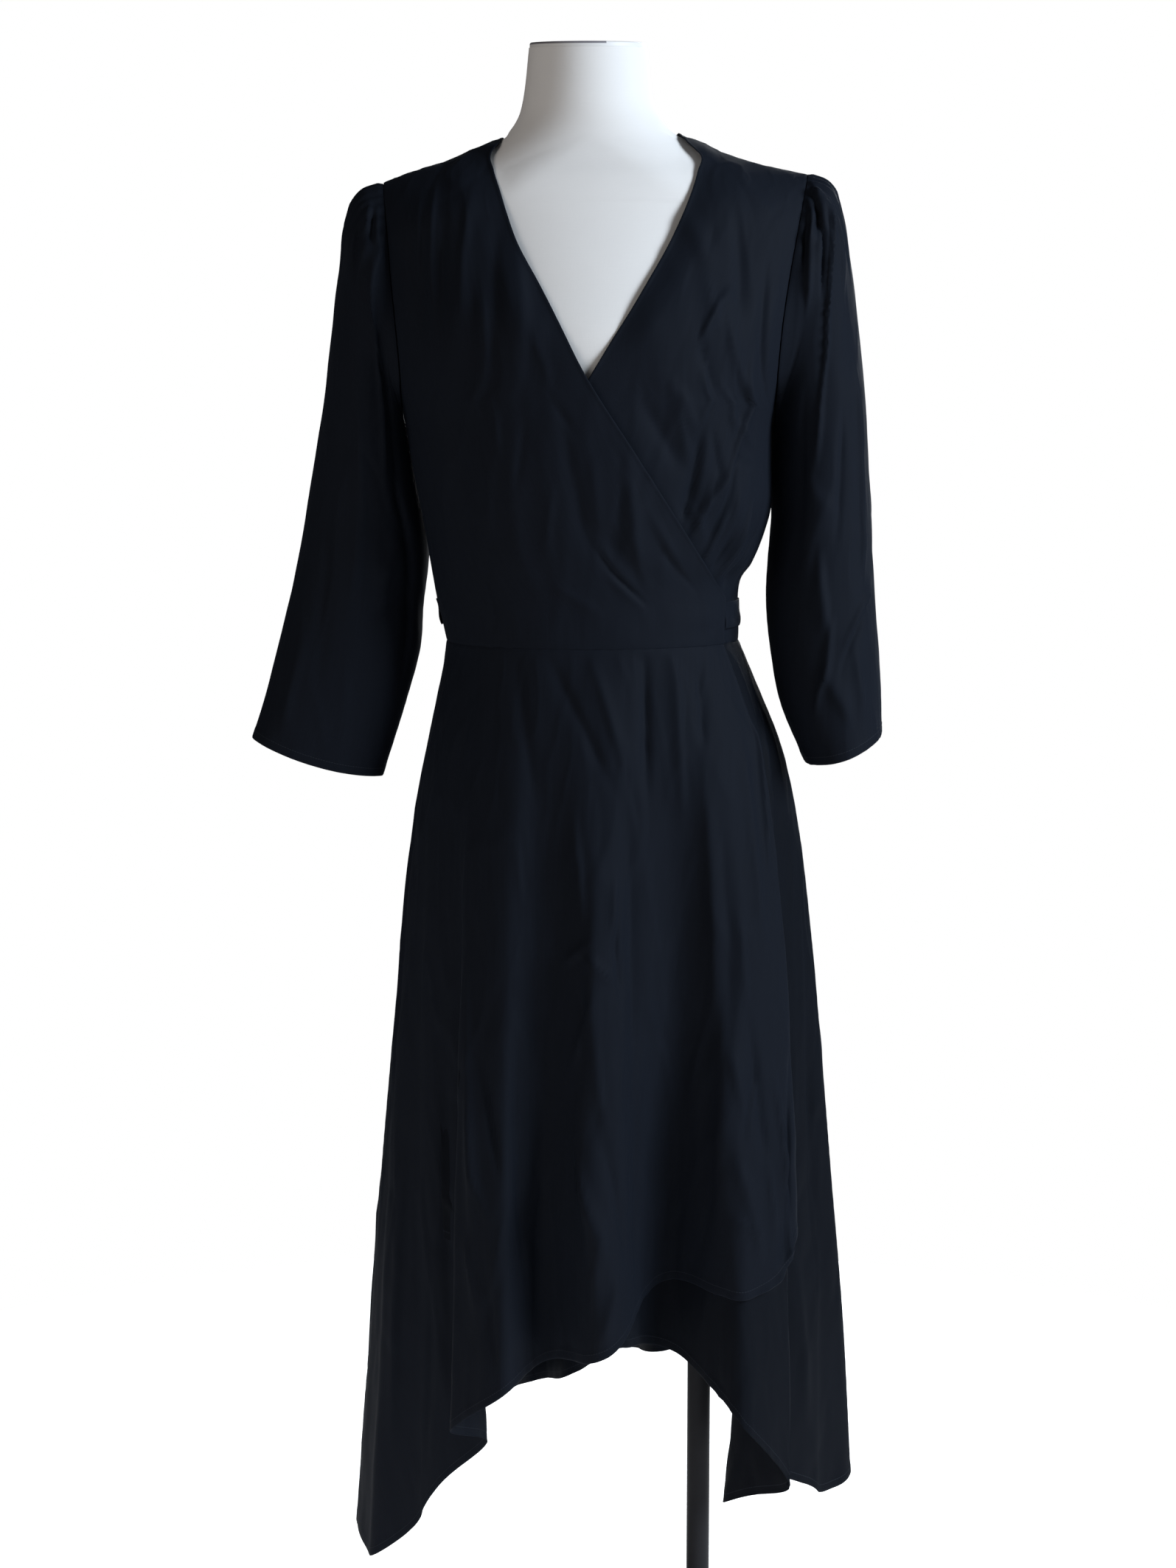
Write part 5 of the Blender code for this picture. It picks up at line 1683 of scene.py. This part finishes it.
@dataclass
class Ties:
    """The two ties, their knot at the back and its two ends."""

    finish: bpy.types.Material
    skirt: Skirt
    low_z: float = 0.9985
    high_z: float = 1.0215
    clear: float = 0.0022
    sewn_lift: float = 0.0007
    knot_width: float = 0.034
    knot_depth: float = 0.020
    knot_height: float = 0.030
    knot_lift: float = 0.0023
    knot_hang: float = 0.006
    rows: int = 10
    wrap_columns: int = 120
    return_columns: int = 100
    twist: float = 0.0007
    tail_rows: int = 80
    tail_width: float = 0.024
    tail_reach: float = 0.018
    tail_bulge: float = 0.0012
    tail_slant: float = 0.006
    knot_cuts: int = 23

    def band(self, angles: Array, lift: Array) -> Array:
        """Points of a tie outside the bodice."""
        rows = spaced(self.rows, self.high_z - self.low_z, True, True)
        rows = np.unique(np.clip(np.concatenate([rows[rows < 0.4], [0.5], rows[rows > 0.6]]), 0, 1))
        z = lerp(self.low_z, self.high_z, rows)[:, None] * np.ones((1, len(angles)))
        points = Torso.points(angles[None, :] * np.ones_like(z), z)
        pull = np.sin(angles * 0.31)[None, :] * self.twist * np.sin(rows * math.pi * 2)[:, None]
        return points + normals(points) * (lift[None, :, None] + pull[..., None])

    def knot_edge(self, side_name: str, z: float) -> float:
        """Half the angle that the knot covers on one side of the back."""
        width = float(read(BODICE, "z", side_name, z))
        return math.degrees(math.asin((self.knot_width / 2 + 0.0003) / width))

    def tail(self, low_x: float, low_z: float, top_x: float, top_z: float) -> Array:
        """Points of a tie end that hangs outside the back skirt."""
        angles = np.linspace(150.0, 210.0, 181)
        share = spaced(self.tail_rows, top_z - low_z, True, False)
        across = spaced(self.rows, self.tail_width, True, True) - 0.5
        points = np.zeros((len(share), len(across), 3))
        for i, up in enumerate(share):
            middle = lerp(low_x, top_x, up)
            z = lerp(low_z, top_z, up)
            near = self.skirt.points(BACK_FOLDS, angles, np.full_like(angles, min(z, WAIST_Z)))
            reach = np.abs(near[:, 0] - middle) < self.tail_reach
            y = near[reach, 1].max() + self.clear + self.knot_hang * ramp(up, 0.55, 1.0)
            points[i, :, 0] = middle - self.tail_width * across
            points[i, :, 1] = y + self.tail_bulge * np.cos(across * math.pi) * ramp(up, 1.0, 0.4)
            points[i, :, 2] = z + self.tail_slant * across * ramp(up, 0.25, 0.0)
        return points

    def knot(self, centre: Point) -> None:
        """The knot: a pad wound over itself, with slanting folds."""
        mesh = bpy.data.meshes.new("tie_knot_cloth")
        with editing(mesh) as shape:
            bmesh.ops.create_cube(shape, size=2.0)
            bmesh.ops.subdivide_edges(shape, edges=shape.edges, cuts=self.knot_cuts, use_grid_fill=True)
            for vertex in shape.verts:
                co = vertex.co
                co /= (abs(co.x) ** 4 + abs(co.y) ** 4 + abs(co.z) ** 4) ** 0.25
                slant = co.x * 0.55 + co.z
                fold = 0.07 * math.cos(slant * 7.5) + 0.03 * math.cos(slant * 15.0 + 1.0)
                pinch = 1 - 0.16 * (1 - abs(co.x)) ** 2 * abs(co.z)
                scale = (0.91 + fold) * pinch
                vertex.co = Vector((
                    centre[0] + co.x * self.knot_width / 2 * min(scale + 0.04, 1.0),
                    centre[1] + co.y * self.knot_depth / 2 * min(scale, 1.0),
                    centre[2] + co.z * self.knot_height / 2 * min(scale + 0.02, 1.0),
                ))
            bmesh.ops.smooth_vert(shape, verts=shape.verts, factor=0.5, use_axis_x=True,
                                  use_axis_y=True, use_axis_z=True)
        corners = np.array([mesh.vertices[loop.vertex_index].co for loop in mesh.loops], np.float32)
        unsewn = np.full(len(corners), NO_EDGE, np.float32)
        layers = {"cloth": corners[:, (0, 2)], "sewing": np.stack([corners[:, 0], unsewn], axis=1)}
        for name, layer in layers.items():
            mesh.uv_layers.new(name=name).uv.foreach_set("vector", layer.ravel())
        mesh.shade_smooth()
        piece = link("tie_knot_cloth", mesh, self.finish)
        dress(piece, "tie_knot")
        LOG.info("tie_knot_cloth: %d points", len(mesh.vertices))

    def build(self) -> None:
        """Makes the ties, knot and ends."""
        knot_z = (self.low_z + self.high_z) / 2
        knot_y = float(read(BODICE, "z", "back", WAIST_Z)) + self.knot_lift + self.knot_depth / 2
        start = float(Torso.angle_of(RIGHT_NECKLINE[0].x, knot_z)) - 0.10
        wrap = np.linspace(start, 180.0 - self.knot_edge("right", knot_z), self.wrap_columns)
        back = np.linspace(180.0 + self.knot_edge("left", knot_z), 360.0 - SIDE_ANGLE - 1.5,
                           self.return_columns)
        for node, angles, lift, cut in (
            ("tie_wrap", wrap, lerp(self.sewn_lift, self.clear, ramp(wrap, start, start + 60.0)),
             (0.22, 0.025, 0.0053)),
            ("tie_return", back, np.full_like(back, self.clear), (0.16, 0.025, 0.0039)),
        ):
            ClothPiece(
                node, self.band(angles, lift), edges(None, None, TURNED, TURNED), cut,
                facing=Facing.BACK, ripple=0.00025, held="stretched", rests_on=("back_bodice_cloth",),
            ).build(self.finish)
        self.knot((0.0, knot_y, knot_z))
        top = knot_z - self.knot_height / 2 - 0.0005
        for node, low_x, low_z, top_x, cut in (
            ("tie_tail_long", -0.034, 0.690, -0.013, (0.025, 0.33, 0.0077)),
            ("tie_tail_short", 0.036, 0.745, 0.014, (0.025, 0.27, 0.0063)),
        ):
            ClothPiece(
                node, self.tail(low_x, low_z, top_x, top), edges(TURNED, TURNED, TURNED), cut,
                facing=Facing.BACK, ripple=0.0003, rests_on=("tie_knot_cloth", "back_skirt_cloth"),
            ).build(self.finish)


@dataclass
class DressForm:
    """The limbless body with its neck, and the cap on the neck."""

    linen: bpy.types.Material
    cap: bpy.types.Material
    sides: int = 128
    cap_sides: int = 96
    levels: int = 150
    low_steps: Tuple[float, ...] = (0.001, 0.002, 0.004)
    neck_start: float = 1.4155
    neck_blend: float = 0.004
    neck_levels: int = 48
    chest_levels: int = 44
    scan: int = 2001  # places tried across the form for its width under the shoulders
    tucked: float = 0.0008  # the linen's top goes up into the cap's foot
    cap_profile: Profile = ((0.0, 0.0), (0.0491, 0.0), (0.0500, 0.0006), (0.0500, 0.0036),
                            (0.0497, 0.0043), (0.0490, 0.0048), (0.0300, 0.0050), (0.0, 0.0050))

    def ring(self, z: float, turn: Array) -> Array:
        """Ring of the body at a height; the shoulders lie under the cloth's ridge."""
        width = float(read(FORM, "z", "width", z))
        depth = either(np.cos(turn) > 0, FORM, "front", "back", z) * np.where(np.cos(turn) > 0, -1.0, 1.0)
        shift = NECK_SHIFT * float(ramp(z, *NECK_SHIFT_FADE))
        if z > NECK_FOOT_Z:
            x = width * np.sin(turn) + shift
            y = depth * np.abs(np.cos(turn))
        else:
            x = np.linspace(-width, width, self.scan)
            reach = x[Torso.shoulder_height(x) - SHOULDER_CLEAR >= z]
            x = np.where(np.sin(turn) < 0, -reach[0], reach[-1]) * np.sin(turn)
            across = np.sqrt(np.clip(1 - (x / width) ** 2, 0.0, 1.0))
            across = across * Torso.rounding(x, np.full_like(x, z + SHOULDER_CLEAR))
            if z > NECK_BLEND_Z:
                drop = NECK_ROOT_Z - z
                root = NECK_ROOT_WIDTH + drop * (NECK_SPREAD[0] + drop * NECK_SPREAD[1])
                across = np.maximum(across, np.sqrt(np.clip(1 - ((x - shift) / root) ** 2, 0.0, 1.0)))
            y = depth * across
        return np.stack([x, y, np.full_like(x, z)], axis=-1)

    def body(self) -> None:
        """Makes the body, with the linen's own coordinates."""
        turn = np.linspace(-math.pi, math.pi, self.sides + 1)
        low = FORM[0].z
        torso = np.unique(np.concatenate([
            np.linspace(low, self.neck_start, self.levels), low + np.array(self.low_steps),
            np.linspace(NECK_BLEND_Z, self.neck_start, self.chest_levels),
        ]))
        body = np.array([self.ring(float(z), turn) for z in torso])
        knots = [self.neck_start - self.neck_blend, self.neck_start]
        knots += [row.z for row in FORM if row.z > NECK_FOOT_Z]
        rings = np.array([self.ring(z, turn) for z in knots])
        neck = np.linspace(self.neck_start, knots[-1], self.neck_levels)[1:]
        rings = smooth_rings(knots, rings, neck)
        points = np.concatenate([body, rings])
        heights = np.concatenate([torso, neck])
        lean = NECK_SLOPE * ramp(points[..., 2], *NECK_SLOPE_FADE)
        points[..., 2] += (points[..., 1] - NECK_FRONT_Y) * lean
        points[-1, :, 2] += self.tucked
        across = running(points, 1)
        linen = np.stack([across, np.repeat(heights[:, None], across.shape[1], axis=1)], axis=-1)
        mesh = grid_mesh("form_body_cover", points, {"cloth": linen}, closed=True)
        with editing(mesh) as shape:
            rims = [edge for edge in shape.edges if edge.is_boundary]
            bmesh.ops.holes_fill(shape, edges=rims, sides=self.sides)
            bmesh.ops.recalc_face_normals(shape, faces=shape.faces)
        mesh.shade_smooth()
        mesh.set_sharp_from_angle(angle=math.radians(LINEN_SHARP_ANGLE))
        piece = link("form_body_cover", mesh, self.linen)
        dress(piece, "form_body")
        LOG.info("form_body_cover: %d points", len(mesh.vertices))

    def build(self) -> None:
        """Makes the body and the cap."""
        self.body()
        foot = (0.0, 0.0, CAP_FOOT_Z)
        piece = turned("neck_cap_moulded", self.cap_profile, foot, self.cap, self.cap_sides)
        hinge = Vector((0.0, NECK_FRONT_Y, CAP_FOOT_Z))
        lean = Matrix.Rotation(math.atan(NECK_SLOPE), 4, "X")
        piece.data.transform(Matrix.Translation(hinge) @ lean @ Matrix.Translation(-hinge))
        dress(piece, "neck_cap")


def turned(name: str, profile: Profile, foot: Point, finish: bpy.types.Material,
           sides: int) -> bpy.types.Object:
    """Spins a profile round an upright axis.

    Args:
        name: The piece's name.
        profile: Radius and height of each point, from the bottom round to the top.
        foot: Where the axis stands.
        finish: The material.
        sides: Steps of the full turn.

    Returns:
        The piece.
    """
    mesh = bpy.data.meshes.new(name)
    with editing(mesh) as shape:
        points = [shape.verts.new((foot[0] + radius, foot[1], foot[2] + height))
                  for radius, height in profile]
        lines = [shape.edges.new(pair) for pair in zip(points, points[1:])]
        if profile[0][0] > 0:
            lines.append(shape.edges.new((points[-1], points[0])))
        bmesh.ops.spin(shape, geom=points + lines, cent=foot, axis=(0, 0, 1), angle=2 * math.pi,
                       steps=sides, use_merge=True)
        bmesh.ops.remove_doubles(shape, verts=shape.verts, dist=1e-6)
        bmesh.ops.recalc_face_normals(shape, faces=shape.faces)
    mesh.shade_smooth()
    mesh.set_sharp_from_angle(angle=math.radians(SHARP_ANGLE))
    LOG.info("%s: %d points", name, len(mesh.vertices))
    return link(name, mesh, finish)


@dataclass
class Stand:
    """The pole, its socket and the round base plate."""

    finish: bpy.types.Material
    pole_x: float = 0.102
    pole_radius: float = 0.0105
    pole_top: float = 0.6997
    base_radius: float = 0.190
    base_thick: float = 0.006
    socket_radius: float = 0.017
    socket_height: float = 0.045
    gap: float = 0.0003
    base_sides: int = 128
    pole_sides: int = 64

    def build(self) -> None:
        """Makes the three pieces."""
        foot = self.base_thick + self.gap
        rim = ((0.0012, 0.0), (0.0003, 0.0004), (0.0, 0.0014), (0.0, 0.0036), (0.0006, 0.0050),
               (0.0020, self.base_thick))
        base = ((0.0, 0.0), *[(self.base_radius - inset, height) for inset, height in rim],
                (0.100, self.base_thick), (0.0, self.base_thick))
        height = self.pole_top - foot
        pole = ((0.0, 0.0), (self.pole_radius, 0.0), (self.pole_radius, height * 0.5),
                (self.pole_radius, height - 0.0008), (self.pole_radius - 0.0006, height), (0.0, height))
        inner, outer, top = self.pole_radius + self.gap, self.socket_radius, self.socket_height
        socket = ((inner, 0.0), (outer, 0.0), (outer, top * 0.5), (outer, top - 0.0020),
                  (outer - 0.0006, top - 0.0006), (outer - 0.0020, top), (inner + 0.0006, top),
                  (inner, top - 0.0006))
        for name, node, profile, place, sides in (
            ("stand_base_plate", "stand_base", base, (0.0, 0.0, 0.0), self.base_sides),
            ("stand_pole_tube", "stand_pole", pole, (self.pole_x, 0.0, foot), self.pole_sides),
            ("stand_socket_collar", "stand_socket", socket, (self.pole_x, 0.0, foot), self.pole_sides),
        ):
            dress(turned(name, profile, place, self.finish, sides), node)


class Lamp(NamedTuple):
    """A square soft light, where it stands and the point that it is aimed at."""

    name: str
    place: Point
    aim: Point
    size: float
    watts: float
    colour: Colour


@dataclass
class Studio:
    """The pale floor, the lights and the camera."""

    eye: Point = (0.0, -2.40, 1.21)
    pitch: float = 8.4
    lens: float = 62.46
    floor_radius: float = 1.3
    floor_z: float = -0.0006
    floor_colours: Tuple[Colour, Colour] = ((0.78, 0.78, 0.78), (0.80, 0.80, 0.80))
    floor_glow: float = 0.92
    sky: Colour = (0.93, 0.96, 1.0)
    sky_strength: float = 0.07
    lamps: Tuple[Lamp, ...] = (
        Lamp("window", (2.10, -1.05, 1.90), (0.0, 0.0, 1.10), 1.0, 86.0, (0.785, 0.89, 1.0)),
        Lamp("left_fill", (-2.2, -2.1, 1.7), (0.0, 0.0, 0.95), 1.8, 24.0, (1.0, 0.94, 0.88)),
        Lamp("back_light", (1.2, 2.8, 2.2), (0.0, 0.0, 0.95), 1.8, 62.0, (0.95, 0.98, 1.0)),
    )

    def floor(self) -> None:
        """A wide pale floor that is white where the lights reach it."""
        shader = Shader("studio_floor")
        cloud = shader.noise(shader.place(), 3.0, 2.0)
        shader.set(base_color=shader.mix(cloud, *self.floor_colours), roughness=0.9,
                   specular_ior_level=0.1, emission_color=(1.0, 1.0, 1.0),
                   emission_strength=self.floor_glow)
        mesh = bpy.data.meshes.new("studio_floor")
        with editing(mesh) as shape:
            bmesh.ops.create_circle(shape, cap_ends=True, segments=96, radius=self.floor_radius)
        floor = link("studio_floor", mesh, shader.material)
        mesh.transform(Matrix.Translation((0.0, 0.0, self.floor_z)))

    def world(self) -> None:
        """Even white light all round; what the camera sees of it is plain white."""
        world = bpy.data.worlds.new("studio")
        bpy.context.scene.world = world
        world.use_nodes = True
        tree = world.node_tree
        light = tree.nodes["Background"]
        light.inputs["Color"].default_value = (*self.sky, 1.0)
        light.inputs["Strength"].default_value = self.sky_strength
        seen = tree.nodes.new("ShaderNodeBackground")
        seen.inputs["Color"].default_value = (1.0, 1.0, 1.0, 1.0)
        seen.inputs["Strength"].default_value = 1.0
        path = tree.nodes.new("ShaderNodeLightPath")
        mix = tree.nodes.new("ShaderNodeMixShader")
        tree.links.new(path.outputs["Is Camera Ray"], mix.inputs[0])
        tree.links.new(light.outputs[0], mix.inputs[1])
        tree.links.new(seen.outputs[0], mix.inputs[2])
        tree.links.new(mix.outputs[0], tree.nodes["World Output"].inputs["Surface"])

    def light(self, lamp: Lamp) -> None:
        """Makes one of the lamps."""
        data = bpy.data.lights.new(lamp.name, "AREA")
        data.size = lamp.size
        data.energy = lamp.watts
        data.color = lamp.colour
        way = Vector(lamp.aim) - Vector(lamp.place)
        put(lamp.name, data, lamp.place, way.to_track_quat("-Z", "Y").to_euler())

    def camera(self) -> None:
        """The camera, level from side to side and tilted down."""
        data = bpy.data.cameras.new("camera")
        data.sensor_fit = "VERTICAL"
        data.sensor_height = 36.0
        data.lens = self.lens
        turn = (math.radians(90.0 - self.pitch), 0.0, 0.0)
        bpy.context.scene.camera = put("camera", data, self.eye, turn)

    def build(self) -> None:
        """Makes the whole studio."""
        self.floor()
        self.world()
        for lamp in self.lamps:
            self.light(lamp)
        self.camera()
        bpy.context.scene.view_settings.view_transform = "Standard"
        bpy.context.scene.view_settings.look = "None"


def main() -> None:
    logging.basicConfig(level=logging.INFO, format="%(message)s")
    crepe = CrepeFinish().build()
    # a darker copy of the crepe: painted shade on the under front skirt panel
    shaded_crepe = CrepeFinish(
        "navy_crepe_painted_shade", dark=(0.0028, 0.0035, 0.0052), light=(0.0050, 0.0066, 0.0106),
    ).build()
    linen = LinenFinish().build()
    cap = CapFinish().build()
    paint = PaintFinish().build()
    DressForm(linen, cap).build()
    Stand(paint).build()
    Bodice(crepe).build()
    Sleeve(crepe, "right_sleeve", -1, RIGHT_SLEEVE, RIGHT_SLEEVE_CREASES).build()
    Sleeve(crepe, "left_sleeve", 1, LEFT_SLEEVE, LEFT_SLEEVE_CREASES).build()
    skirt = Skirt(crepe, shaded_crepe)
    skirt.build()
    Ties(crepe, skirt).build()
    Studio().build()


if __name__ == "__main__":
    main()
